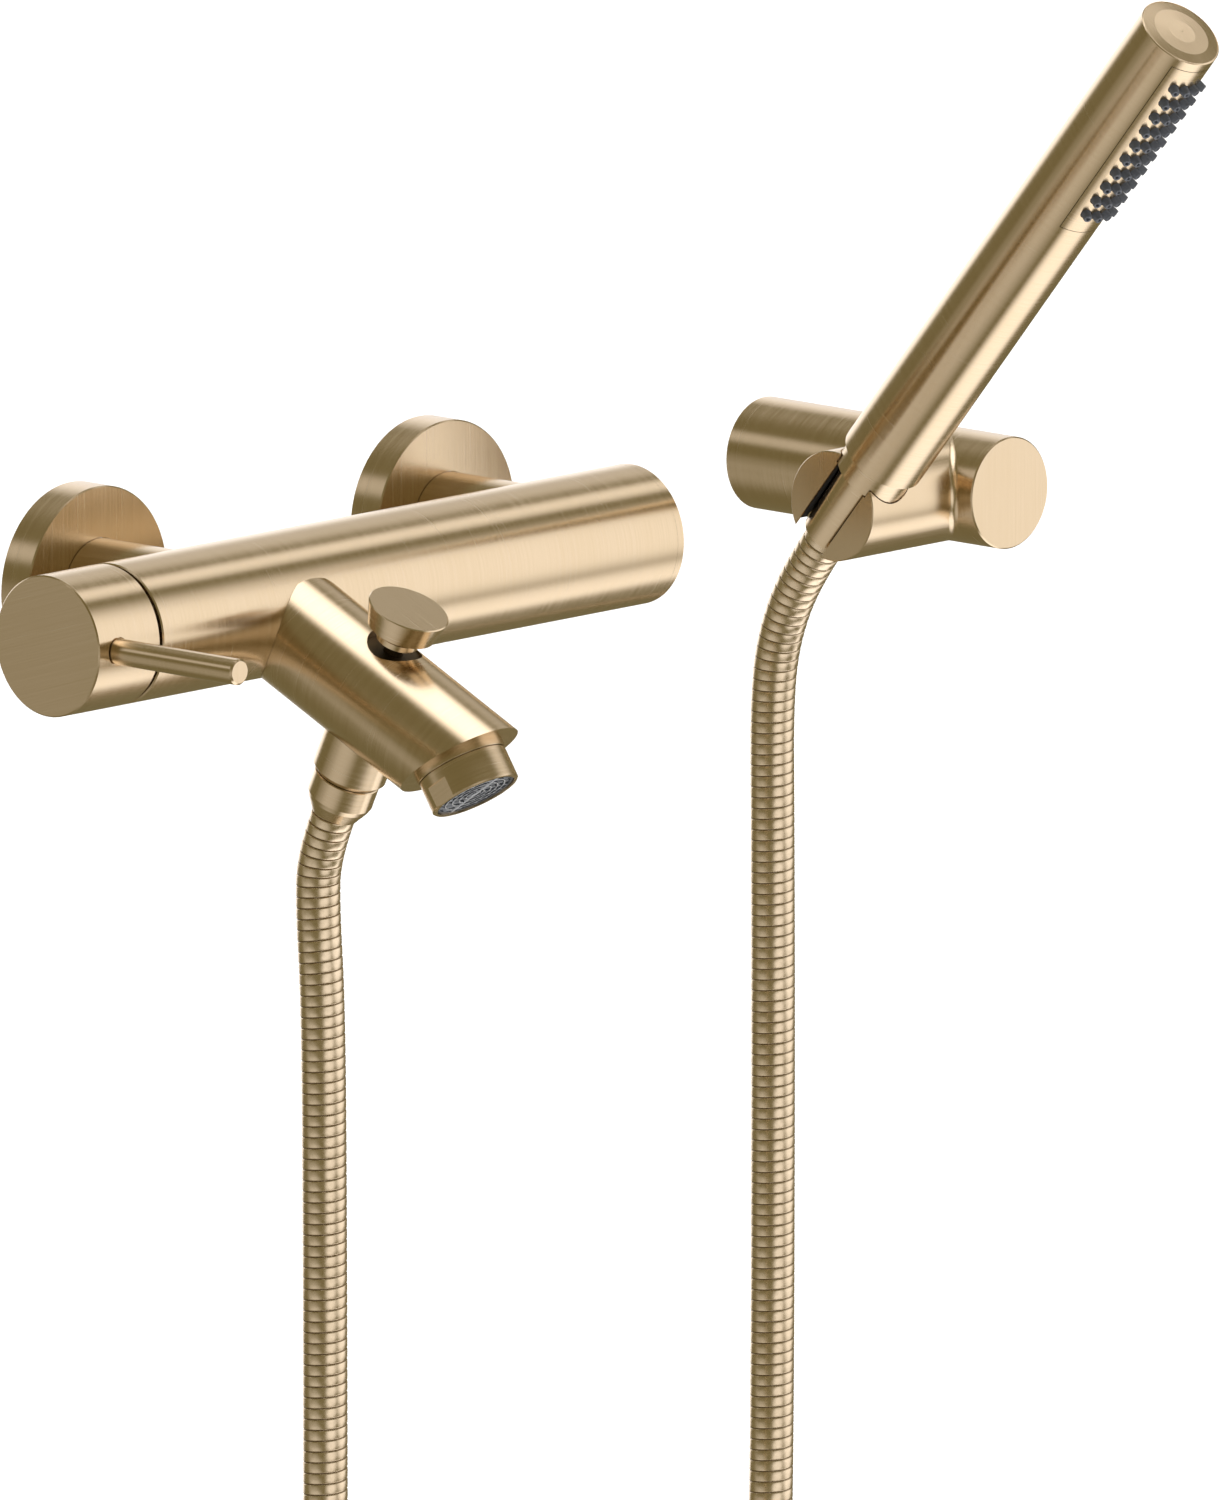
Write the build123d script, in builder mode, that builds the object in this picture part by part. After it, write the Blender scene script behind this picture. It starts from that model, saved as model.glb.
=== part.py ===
from build123d import *
import math
import os

# Wall mounted bath mixer with a pull diverter, a hand shower on a hose and its wall holder.
# Frame: origin on the wall, midway between the two inlets; +X along the wall, -Y into the room, +Z up.
# Lengths are millimetres, angles are degrees.

# ---- driving dimensions ---------------------------------------------------------------------------
inlet_spacing = 150.0          # between the hot and the cold inlet
body_out = 68.0                # body axis from the wall
body_radius = 21.0
handle_reach = 54.1            # hot inlet to the handle end of the body
plug_reach = 17.0              # cold inlet to the plugged end of the body
edge_break = 0.4               # small bevel on turned edges

boss_radius = 14.3             # bosses from the body to the rosettes
boss_bore = 12.0
boss_depth = 42.0              # depth of the boss bore, measured from the wall
rosette_radius = 29.75
rosette_height = 11.1
rosette_wall = 1.5
boss_seat = 2.1                # boss end behind the rosette's face
stud_radius = 10.48            # G1/2 thread into the wall fitting
stud_length = 14.0
union_bore = 7.0
union_hex = 27.0               # across the flats
union_hex_height = 6.5

cartridge_bore = 17.6          # radius of the cartridge seat in the body
cartridge_back = 14.0          # hot inlet to the floor of the cartridge seat
port_radius = 4.4
port_circle = 9.0              # radius of the circle that the three ports sit on
pivot_reach = 42.0             # hot inlet to the pin that the stem tilts on
stem_width = 7.0
stem_height = 8.0
stem_reach = 33.0              # from the pivot to the stem's outer end
stem_arm = 12.0                # from the pivot to the ball on the stem's inner end
ball_radius = 2.9
flow_tilt = 20.0               # opening angle of the lever
turret_radius = 10.4

cap_gap = 1.3                  # between the handle cap and the body
cap_length = 26.0
cap_pocket = 11.6
lever_reach = 73.1             # hot inlet to the lever
lever_radius = 3.9
lever_tip = 137.7              # lever tip from the wall
lever_thread = 2.95

cold_chamber_radius = 17.0
cold_chamber_length = 122.0
plug_head = 3.0
plug_depth = 12.0

spout_offset = 11.4            # hot inlet to the spout
spout_fall = 25.0              # spout axis below horizontal
spout_radius = 17.5
spout_length = 86.3            # body axis to the centre of the end face
spout_bore = 8.0
spigot_radius = 12.0
spigot_root = 13.2
jet_fall = 56.0                # water jet below horizontal
aerator_radius = 13.7
aerator_height = 12.0
aerator_seat = 2.0             # raised seat on the spout's end face
aerator_thread = 12.2
aerator_flat = 13.1            # wrench flats from the jet axis

diverter_along = 50.0          # diverter axis along the spout
chamber_radius = 8.5
bush_sunk = 2.7                # bush top below the spout's surface
bush_height = 6.8
knob_radius = 12.3
knob_rise = 12.5               # knob top above the spout's surface
knob_height = 11.5
knob_neck = 6.4
diverter_stem = 2.95
valve_foot = 6.2               # spout's underside to the valve's lower end
valve_height = 7.3

collar_radius = 11.15
collar_drop = 10.8             # collar's end below the spout's underside
outlet_thread = 7.4
outlet_thread_length = 6.7
outlet_exit_drop = 12.9        # hose exit below the collar's end
hose_nut_radius = 9.9
hose_radius = 6.6
ferrule_radius = 5.4
ferrule_bore = 3.8
washer_outer = 7.2
washer_inner = 4.2
washer_thick = 1.55

holder_offset = 150.8          # cold inlet to the holder
holder_z = -1.2
holder_radius = 16.9
holder_length = 99.5
holder_bore = 14.4
holder_bore_depth = 56.0
arm_radius = 16.6
arm_out = 75.7                 # arm axis from the wall
arm_reach = 52.4               # holder axis to the arm's free end
arm_fillet = 2.0
screw_spacing = 14.0
wall_screw_hole = 2.3          # radius of the wall plate's screw holes

cradle_reach = 43.5            # holder axis to the hand shower's axis
lean = 40.0                    # hand shower axis from vertical, away from the wall
slot_clear = 0.4               # slot's width beyond the hose
liner_wall = 1.2
grip_nut_length = 26.0
grip_nut_low_radius = 8.25
grip_nut_radius = 9.1
neck_radius = 11.25
neck_length = 7.8
tube_clear = 3.3               # tube's lower end beyond the arm's surface
tube_length = 185.3
tube_radius = 12.9
tube_wall = 1.5
plate_rise = 112.3             # plate's lower end from the tube's lower end
plate_length = 69.7
plate_half_angle = 45.7
nozzle_rows = 10
nozzle_pitch = 6.04
nozzle_angles = (-24.0, -8.0, 8.0, 24.0)
nozzle_base = 1.65
nozzle_tip = 1.15
nozzle_stand = 2.7             # nozzle tip above the plate

running = 0.1                  # clearance of pieces that turn or slide in each other
seating = 0.05                 # clearance of pieces that are fixed in each other

# ---- derived places -------------------------------------------------------------------------------
half_spacing = inlet_spacing / 2
hot_x = -half_spacing
cold_x = half_spacing
body_left = hot_x - handle_reach
body_right = cold_x + plug_reach
cartridge_floor = hot_x - cartridge_back
cold_chamber_end = body_right - cold_chamber_length
pivot_x = hot_x - pivot_reach
lever_x = hot_x - lever_reach
spout_x = hot_x + spout_offset
holder_x = cold_x + holder_offset
arm_end_x = holder_x - arm_reach
cradle_x = holder_x - cradle_reach
bush_top = spout_radius - bush_sunk
bush_bottom = bush_top - bush_height
knob_top = spout_radius + knob_rise
knob_underside = knob_top - knob_height
valve_bottom = valve_foot - spout_radius
collar_end = spout_radius + collar_drop
outlet_thread_end = collar_end + outlet_thread_length
outlet_exit = collar_end + outlet_exit_drop
cradle_slot = 2 * hose_radius + slot_clear
tube_bottom = arm_radius + tube_clear
tube_top = tube_bottom + tube_length
tube_bore = tube_radius - tube_wall
neck_bottom = tube_bottom - neck_length
grip_nut_top = neck_bottom - running
grip_nut_bottom = grip_nut_top - grip_nut_length
plate_bottom = tube_bottom + plate_rise
cap_right = body_left - cap_gap
cap_left = cap_right - cap_length
spout_dir = Vector(0, -math.cos(math.radians(spout_fall)), -math.sin(math.radians(spout_fall)))
knob_dir = Vector(0, -math.sin(math.radians(spout_fall)), math.cos(math.radians(spout_fall)))
jet_dir = Vector(0, -math.cos(math.radians(jet_fall)), -math.sin(math.radians(jet_fall)))
grip_dir = Vector(0, -math.sin(math.radians(lean)), math.cos(math.radians(lean)))
spout_root = Vector(spout_x, -body_out, 0)
diverter_centre = spout_root + spout_dir * diverter_along
jet_centre = spout_root + spout_dir * spout_length
cradle_centre = Vector(cradle_x, -arm_out, holder_z)
outlet_point = diverter_centre - knob_dir * outlet_exit
grip_point = cradle_centre + grip_dir * grip_nut_bottom

os.makedirs("parts", exist_ok=True)


def across(x):
    """Plane square to the body axis: local x towards the wall, local y up."""
    return Plane(origin=(x, -body_out, 0), x_dir=(0, 1, 0), z_dir=(1, 0, 0))


def out_of_wall(x, z, distance):
    """Plane parallel to the wall, facing the room."""
    return Plane(origin=(x, -distance, z), x_dir=(1, 0, 0), z_dir=(0, -1, 0))


def along_spout(distance):
    """Plane square to the spout: local y towards the diverter knob."""
    return Plane(origin=spout_root + spout_dir * distance, x_dir=(1, 0, 0), z_dir=spout_dir)


def along_knob(height):
    """Plane square to the diverter axis, at a height above the spout axis."""
    return Plane(origin=diverter_centre + knob_dir * height, x_dir=(1, 0, 0), z_dir=knob_dir)


def along_jet(distance):
    """Plane square to the water jet, measured from the spout's end face."""
    return Plane(origin=jet_centre + jet_dir * distance, x_dir=(1, 0, 0), z_dir=jet_dir)


def along_grip(distance):
    """Plane square to the hand shower, measured from the arm axis; local y towards the wall."""
    return Plane(origin=cradle_centre + grip_dir * distance, x_dir=(1, 0, 0), z_dir=grip_dir)


def turn(plane, outline, mode=Mode.ADD):
    """Turn an outline of (radius, height) points about the plane's normal."""
    section = Plane(origin=plane.origin, x_dir=plane.x_dir, z_dir=-plane.y_dir)
    with BuildSketch(section) as profile:
        with BuildLine():
            Polyline(*outline, close=True)
        make_face()
    revolve(profile.sketch, axis=Axis(plane.origin, plane.z_dir), mode=mode)


def ring_outline(outer, inner, low, high):
    """Outline of a plain ring or tube."""
    return [(inner, low), (outer, low), (outer, high), (inner, high)]


def rod_outline(radius, low, high, bevel=0.0):
    """Outline of a plain rod, with a bevel at its high end."""
    if bevel:
        return [(0, low), (radius, low), (radius, high - bevel), (radius - bevel, high), (0, high)]
    return [(0, low), (radius, low), (radius, high), (0, high)]


def o_ring(plane, middle, section):
    """Turn a round section into a ring that lies in the plane."""
    cut = Plane(origin=plane.origin, x_dir=plane.x_dir, z_dir=-plane.y_dir)
    with BuildSketch(cut) as round_section:
        with Locations((middle, 0)):
            Circle(section)
    revolve(round_section.sketch, axis=Axis(plane.origin, plane.z_dir))


# ---- mixer body -----------------------------------------------------------------------------------
body_plane = across(0)
port_places = [(port_circle * math.cos(math.radians(a)), port_circle * math.sin(math.radians(a)))
               for a in (0.0, 120.0, 240.0)]
hot_port, cold_port, mixed_port = port_places
hot_channel_end = hot_x + port_radius
mixed_channel_end = spout_x + port_radius
waterway_radius = 6.0
boss_screw_out = 14.0
grub_radius = 2.0
grub_key = 1.0
grub_sunk = 0.3
grub_key_depth = 1.4
waterway_end = body_out - hot_port[0] + port_radius
socket_clear = 0.15
feed_root = 6.5
past = 1.0                     # how far a cut runs past the face it opens
turn_in = 1.0                  # lead-in bevel on turned ends

with BuildPart() as mixer_body:
    turn(body_plane, [(0, body_left), (body_radius - edge_break, body_left),
                      (body_radius, body_left + edge_break), (body_radius, body_right),
                      (0, body_right)])
    for x in (hot_x, cold_x):
        turn(out_of_wall(x, 0, 0), rod_outline(boss_radius, rosette_height - boss_seat, body_out))
    turn(body_plane, rod_outline(cartridge_bore, body_left - past, cartridge_floor), Mode.SUBTRACT)
    turn(body_plane, rod_outline(cold_chamber_radius, cold_chamber_end, body_right + past),
         Mode.SUBTRACT)
    for place, channel_end in ((hot_port, hot_channel_end), (cold_port, cold_chamber_end + past),
                               (mixed_port, mixed_channel_end)):
        with BuildSketch(across(cartridge_floor - past)) as channel:
            with Locations(place):
                Circle(port_radius)
        extrude(channel.sketch, amount=channel_end - cartridge_floor + past, mode=Mode.SUBTRACT)
    for x in (hot_x, cold_x):
        turn(out_of_wall(x, 0, 0), rod_outline(boss_bore, 0, boss_depth), Mode.SUBTRACT)
        turn(out_of_wall(x, 0, 0), rod_outline(waterway_radius, boss_depth - past, waterway_end),
             Mode.SUBTRACT)
        with BuildSketch(Plane.XY.offset(-boss_radius - past)) as screw_hole:
            with Locations((x, -boss_screw_out)):
                Circle(grub_radius + seating)
        extrude(screw_hole.sketch, amount=boss_radius - boss_bore + 2 * past, mode=Mode.SUBTRACT)
    turn(along_spout(0), rod_outline(spigot_radius + socket_clear, spigot_root - seating,
                                     body_radius + 2 * past), Mode.SUBTRACT)
    turn(along_spout(0), rod_outline(spout_bore, feed_root, body_radius), Mode.SUBTRACT)
mixer_body.part.label = "mixer_body"
export_step(mixer_body.part, "parts/mixer_body.step")

# ---- plug in the cold end of the body -------------------------------------------------------------
plug_groove_in = 7.0
plug_wall = 4.0
plug_floor = 2.0
plug_groove = body_right - plug_groove_in
groove_half = 1.1
groove_depth = 1.5
small_cord = 0.7               # section radius of the small O-rings
large_cord = 0.9               # section radius of the valve's O-rings
seal_squeeze = 0.15
with BuildPart() as body_end_plug:
    turn(body_plane, [(0, body_right - plug_depth), (cold_chamber_radius - seating, body_right - plug_depth),
                      (cold_chamber_radius - seating, body_right + seating),
                      (body_radius, body_right + seating),
                      (body_radius, body_right + plug_head - edge_break),
                      (body_radius - edge_break, body_right + plug_head), (0, body_right + plug_head)])
    turn(body_plane, rod_outline(cold_chamber_radius - plug_wall, body_right - plug_depth - past,
                                 body_right - plug_floor),
         Mode.SUBTRACT)
    turn(body_plane, ring_outline(cold_chamber_radius + past, cold_chamber_radius - groove_depth - seating,
                                  plug_groove - groove_half, plug_groove + groove_half), Mode.SUBTRACT)
body_end_plug.part.label = "body_end_plug"
export_step(body_end_plug.part, "parts/body_end_plug.step")

with BuildPart() as plug_o_ring:
    o_ring(across(plug_groove), cold_chamber_radius - small_cord - seal_squeeze, small_cord)
plug_o_ring.part.label = "plug_o_ring"
export_step(plug_o_ring.part, "parts/plug_o_ring.step")

# ---- wall inlets: union, rosette and gasket for each side -----------------------------------------
union_gap = 2.0
union_end = boss_depth - union_gap
union_face = 0.5
gasket_width = 5.0
gasket_thick = 2.0
union_spigot = boss_bore - running
ring_seats = (20.0, 30.0)
for side, x in (("hot", hot_x), ("cold", cold_x)):
    wall_plane = out_of_wall(x, 0, 0)
    with BuildPart() as inlet_union:
        turn(wall_plane, [(union_bore, -stud_length), (stud_radius - turn_in, -stud_length),
                          (stud_radius, turn_in - stud_length), (stud_radius, union_face),
                          (union_spigot, union_face), (union_spigot, union_end - turn_in),
                          (union_spigot - turn_in, union_end), (union_bore, union_end)])
        with BuildSketch(out_of_wall(x, 0, union_face)) as hexagon:
            RegularPolygon(union_hex / 2, 6, major_radius=False)
            Circle(union_spigot - turn_in, mode=Mode.SUBTRACT)
        extrude(hexagon.sketch, amount=union_hex_height)
        for seat in ring_seats:
            turn(wall_plane, ring_outline(union_spigot + past, union_spigot - groove_depth,
                                          seat - groove_half, seat + groove_half), Mode.SUBTRACT)
    inlet_union.part.label = f"inlet_union_{side}"
    export_step(inlet_union.part, f"parts/inlet_union_{side}.step")

    with BuildPart() as rosette:
        turn(wall_plane, [(rosette_radius - rosette_wall, 0), (rosette_radius, 0),
                          (rosette_radius, rosette_height - edge_break),
                          (rosette_radius - edge_break, rosette_height),
                          (boss_radius + socket_clear, rosette_height),
                          (boss_radius + socket_clear, rosette_height - rosette_wall),
                          (rosette_radius - rosette_wall, rosette_height - rosette_wall)])
    rosette.part.label = f"rosette_{side}"
    export_step(rosette.part, f"parts/rosette_{side}.step")

with BuildPart() as rosette_gaskets:
    for x in (hot_x, cold_x):
        turn(out_of_wall(x, 0, 0), ring_outline(rosette_radius - rosette_wall - seating,
                                                rosette_radius - rosette_wall - gasket_width,
                                                0, gasket_thick))
rosette_gaskets.part.label = "rosette_gaskets"
export_step(rosette_gaskets.part, "parts/rosette_gaskets.step")

with BuildPart() as union_o_rings:
    for x in (hot_x, cold_x):
        for seat in ring_seats:
            o_ring(out_of_wall(x, 0, seat), union_spigot - small_cord, small_cord)
union_o_rings.part.label = "union_o_rings"
export_step(union_o_rings.part, "parts/union_o_rings.step")

with BuildPart() as boss_grub_screws:
    for x in (hot_x, cold_x):
        with BuildSketch(Plane.XY.offset(grub_sunk - boss_radius)) as screw_face:
            with Locations((x, -boss_screw_out)):
                Circle(grub_radius)
        extrude(screw_face.sketch, amount=boss_radius - grub_sunk - union_spigot)
        with BuildSketch(Plane.XY.offset(-boss_radius)) as hex_key:
            with Locations((x, -boss_screw_out)):
                RegularPolygon(grub_key, 6, major_radius=False)
        extrude(hex_key.sketch, amount=grub_key_depth, mode=Mode.SUBTRACT)
boss_grub_screws.part.label = "boss_grub_screws"
export_step(boss_grub_screws.part, "parts/boss_grub_screws.step")

# ---- ceramic cartridge ----------------------------------------------------------------------------
seal_thick = 1.4
seal_width = 1.3
base_thick = 3.0
housing_clear = 0.3
housing_wall = 1.9
disc_thick = 4.0
port_step = 0.8
slider_thick = 4.2
slider_rim = 2.8
slider_cup = 2.0
carrier_thick = 5.5
carrier_gap = 0.7
flange_thick = 5.6
lid_gap = 0.2
lid_thick = 2.0
turret_rise = 4.0
cartridge_nut_thick = 6.0
nut_key_radius = 13.5
nut_key_depth = 4.0
ball_clear = 0.3
base_low = cartridge_floor - seating - seal_thick
base_high = base_low - base_thick
housing_radius = cartridge_bore - housing_clear
housing_bore = housing_radius - housing_wall
disc_low = base_high - seating
disc_high = disc_low - disc_thick
slider_low = disc_high - seating
slider_mid = slider_low - slider_thick
slider_radius = 10.3
carrier_high = slider_mid - seating - carrier_thick
turret_low = carrier_high - carrier_gap
turret_flange = turret_low - flange_thick
housing_lid = turret_flange - lid_gap
housing_top = housing_lid - lid_thick
turret_top = pivot_x - turret_rise
nut_top = housing_top - cartridge_nut_thick

with BuildPart() as port_seals:
    for place in port_places:
        with BuildSketch(across(base_low)) as seal:
            with Locations(place):
                Circle(port_radius + seal_width)
                Circle(port_radius, mode=Mode.SUBTRACT)
        extrude(seal.sketch, amount=seal_thick)
port_seals.part.label = "port_seals"
export_step(port_seals.part, "parts/port_seals.step")

with BuildPart() as cartridge_base:
    turn(body_plane, rod_outline(housing_bore - seating, base_high, base_low))
    for place in port_places:
        with BuildSketch(across(base_high)) as port:
            with Locations(place):
                Circle(port_radius)
        extrude(port.sketch, amount=base_low - base_high, mode=Mode.SUBTRACT)
cartridge_base.part.label = "cartridge_base"
export_step(cartridge_base.part, "parts/cartridge_base.step")

with BuildPart() as cartridge_housing:
    turn(body_plane, [(housing_bore, base_low), (housing_radius, base_low), (housing_radius, housing_top),
                      (turret_radius + running, housing_top), (turret_radius + running, housing_lid),
                      (housing_bore, housing_lid)])
cartridge_housing.part.label = "cartridge_housing"
export_step(cartridge_housing.part, "parts/cartridge_housing.step")

with BuildPart() as ceramic_fixed_disc:
    turn(body_plane, rod_outline(housing_bore - running, disc_high, disc_low))
    for place in port_places:
        with BuildSketch(across(disc_high)) as port:
            with Locations(place):
                Circle(port_radius - port_step)
        extrude(port.sketch, amount=disc_low - disc_high, mode=Mode.SUBTRACT)
ceramic_fixed_disc.part.label = "ceramic_fixed_disc"
export_step(ceramic_fixed_disc.part, "parts/ceramic_fixed_disc.step")

with BuildPart() as ceramic_moving_disc:
    turn(body_plane, rod_outline(slider_radius, slider_mid, slider_low))
    turn(body_plane, rod_outline(slider_radius - slider_rim, slider_low - slider_cup,
                                 slider_low + past), Mode.SUBTRACT)
ceramic_moving_disc.part.label = "ceramic_moving_disc"
export_step(ceramic_moving_disc.part, "parts/ceramic_moving_disc.step")

with BuildPart() as disc_carrier:
    turn(body_plane, ring_outline(slider_radius, ball_radius + ball_clear, carrier_high,
                                  slider_mid - seating))
disc_carrier.part.label = "disc_carrier"
export_step(disc_carrier.part, "parts/disc_carrier.step")

slot_half = 6.2
slot_floor = 3.5
ball_way_shift = 2.2
ball_way_length = 11.6
ball_way_clear = 0.25
pin_sunk = 0.4
pin_radius = 1.95
with BuildPart() as cartridge_turret:
    turn(body_plane, [(0, turret_low), (housing_bore - running, turret_low),
                      (housing_bore - running, turret_flange), (turret_radius, turret_flange),
                      (turret_radius, turret_top), (0, turret_top)])
    with BuildSketch(across(turret_top - past)) as wide_slot:
        Rectangle(2 * slot_half, stem_height + 2 * running)
    extrude(wide_slot.sketch, amount=turret_low - turret_top - slot_floor, mode=Mode.SUBTRACT)
    with BuildSketch(across(turret_top - past)) as deep_slot:
        with Locations((-ball_way_shift, 0)):
            Rectangle(ball_way_length, 2 * (ball_radius + ball_way_clear))
    extrude(deep_slot.sketch, amount=turret_low - turret_top + 2 * past, mode=Mode.SUBTRACT)
    with BuildSketch(Plane.XY.offset(-turret_radius)) as pin_hole:
        with Locations((pivot_x, -body_out)):
            Circle(pin_radius + seating)
    extrude(pin_hole.sketch, amount=2 * turret_radius, mode=Mode.SUBTRACT)
cartridge_turret.part.label = "cartridge_turret"
export_step(cartridge_turret.part, "parts/cartridge_turret.step")

with BuildPart() as stem_pin:
    with BuildSketch(Plane.XY.offset(pin_sunk - turret_radius)) as pin_face:
        with Locations((pivot_x, -body_out)):
            Circle(pin_radius)
    extrude(pin_face.sketch, amount=2 * (turret_radius - pin_sunk))
stem_pin.part.label = "stem_pin"
export_step(stem_pin.part, "parts/stem_pin.step")

with BuildPart() as cartridge_nut:
    turn(body_plane, ring_outline(cartridge_bore - seating, turret_radius + housing_clear, nut_top,
                                  housing_top - seating))
    with BuildSketch(across(nut_top)) as key_hexagon:
        RegularPolygon(nut_key_radius, 6, major_radius=False)
    extrude(key_hexagon.sketch, amount=nut_key_depth, mode=Mode.SUBTRACT)
cartridge_nut.part.label = "cartridge_nut"
export_step(cartridge_nut.part, "parts/cartridge_nut.step")

# ---- lever handle ---------------------------------------------------------------------------------
stem_end = pivot_x - stem_reach
shank_over = 2.5
shank_root = pivot_x + shank_over
ball_stalk = 2.4
with BuildPart() as cartridge_stem:
    with BuildSketch(across(stem_end)) as shank:
        Rectangle(stem_width, stem_height)
    extrude(shank.sketch, amount=shank_root - stem_end)
    turn(body_plane, rod_outline(ball_stalk, shank_root - past, pivot_x + stem_arm))
    with Locations((pivot_x + stem_arm, -body_out, 0)):
        Sphere(ball_radius)
    with BuildSketch(Plane.XY.offset(-stem_height)) as pin_way:
        with Locations((pivot_x, -body_out)):
            Circle(pin_radius + running)
    extrude(pin_way.sketch, amount=2 * stem_height, mode=Mode.SUBTRACT)
cartridge_stem.part.label = "cartridge_stem"
export_step(cartridge_stem.part, "parts/cartridge_stem.step")

# The back of the cap's rim is relieved to the plane that the body's end makes at full tilt.
tilt = math.radians(flow_tilt)
tilt_normal = Vector(math.cos(tilt), math.sin(tilt), 0)
tilt_clear = 0.2
tilt_point = Vector(pivot_x, -body_out, 0) + tilt_normal * (body_left - pivot_x - tilt_clear)
recess_depth = 1.2
set_screw_shift = 2.5
set_screw_x = lever_x + set_screw_shift
set_screw_sunk = 6.0
set_key_depth = 2.0
stem_gap = 0.2
lever_clear = 0.4
lever_foot_gap = 0.3
lever_bevel = 0.6
with BuildPart() as handle_cap:
    turn(body_plane, [(0, cap_left), (body_radius - edge_break, cap_left),
                      (body_radius, cap_left + edge_break), (body_radius, cap_right - edge_break),
                      (body_radius - edge_break, cap_right), (0, cap_right)])
    turn(body_plane, rod_outline(cartridge_bore, cap_right - cap_pocket, cap_right + past), Mode.SUBTRACT)
    with BuildSketch(across(stem_end - stem_gap)) as socket:
        Rectangle(stem_width + 2 * seating, stem_height + 2 * seating)
    extrude(socket.sketch, amount=cap_right - stem_end, mode=Mode.SUBTRACT)
    turn(out_of_wall(lever_x, 0, body_out), rod_outline(lever_thread + seating, stem_width / 2,
                                                        body_radius + past), Mode.SUBTRACT)
    turn(out_of_wall(lever_x, 0, body_out),
         rod_outline(lever_radius + lever_clear, body_radius - recess_depth, body_radius + past),
         Mode.SUBTRACT)
    with BuildSketch(Plane.XY.offset(-body_radius - past)) as set_hole:
        with Locations((set_screw_x, -body_out)):
            Circle(grub_radius + seating)
    extrude(set_hole.sketch, amount=body_radius + past - stem_height / 2, mode=Mode.SUBTRACT)
    split(bisect_by=Plane(origin=tilt_point, z_dir=tilt_normal), keep=Keep.BOTTOM)
handle_cap.part.label = "handle_cap"
export_step(handle_cap.part, "parts/handle_cap.step")

with BuildPart() as handle_lever:
    turn(out_of_wall(lever_x, 0, 0), [(0, body_out + stem_width / 2 + lever_foot_gap),
                                      (lever_thread, body_out + stem_width / 2 + lever_foot_gap),
                                      (lever_thread, body_out + body_radius - recess_depth + seating),
                                      (lever_radius, body_out + body_radius - recess_depth + seating),
                                      (lever_radius, lever_tip - lever_bevel),
                                      (lever_radius - lever_bevel, lever_tip),
                                      (0, lever_tip)])
handle_lever.part.label = "handle_lever"
export_step(handle_lever.part, "parts/handle_lever.step")

with BuildPart() as handle_grub_screw:
    with BuildSketch(Plane.XY.offset(set_screw_sunk - body_radius)) as screw_face:
        with Locations((set_screw_x, -body_out)):
            Circle(grub_radius)
    extrude(screw_face.sketch, amount=body_radius - set_screw_sunk - stem_height / 2 - seating)
    with BuildSketch(Plane.XY.offset(set_screw_sunk - body_radius)) as hex_key:
        with Locations((set_screw_x, -body_out)):
            RegularPolygon(grub_key, 6, major_radius=False)
    extrude(hex_key.sketch, amount=set_key_depth, mode=Mode.SUBTRACT)
handle_grub_screw.part.label = "handle_grub_screw"
export_step(handle_grub_screw.part, "parts/handle_grub_screw.step")

# ---- spout ----------------------------------------------------------------------------------------
spigot_groove = 17.0
jet_socket = 9.0
spigot_root_in = 4.0
rim_squeeze = 0.05
rim_radius_clear = 0.3
rim_in = 4.0
rim_bevel = 0.2
with BuildPart() as spout:
    turn(along_spout(0), rod_outline(spout_radius, spigot_root, spout_length + spout_radius))
    split(bisect_by=along_jet(0), keep=Keep.BOTTOM)
    turn(body_plane, rod_outline(body_radius + seating, spout_x - 2 * body_radius,
                                 spout_x + 2 * body_radius), Mode.SUBTRACT)
    turn(along_spout(0), rod_outline(spigot_radius, spigot_root, body_radius + spigot_root_in))
    turn(along_jet(0), rod_outline(aerator_radius + rim_radius_clear, -rim_in, aerator_seat, rim_bevel))
    turn(along_spout(0), rod_outline(spout_bore, 0, spout_length - spout_bore), Mode.SUBTRACT)
    turn(along_knob(0), rod_outline(chamber_radius, -spout_radius - past, spout_radius + past),
         Mode.SUBTRACT)
    turn(along_jet(0), rod_outline(aerator_thread + running, -jet_socket, aerator_seat + past),
         Mode.SUBTRACT)
    turn(along_spout(0), ring_outline(spigot_radius + past, spigot_radius - groove_depth,
                                      spigot_groove - groove_half, spigot_groove + groove_half),
         Mode.SUBTRACT)
spout.part.label = "spout"
export_step(spout.part, "parts/spout.step")

with BuildPart() as spout_o_ring:
    o_ring(along_spout(spigot_groove), spigot_radius - small_cord + rim_squeeze, small_cord)
spout_o_ring.part.label = "spout_o_ring"
export_step(spout_o_ring.part, "parts/spout_o_ring.step")

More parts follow.
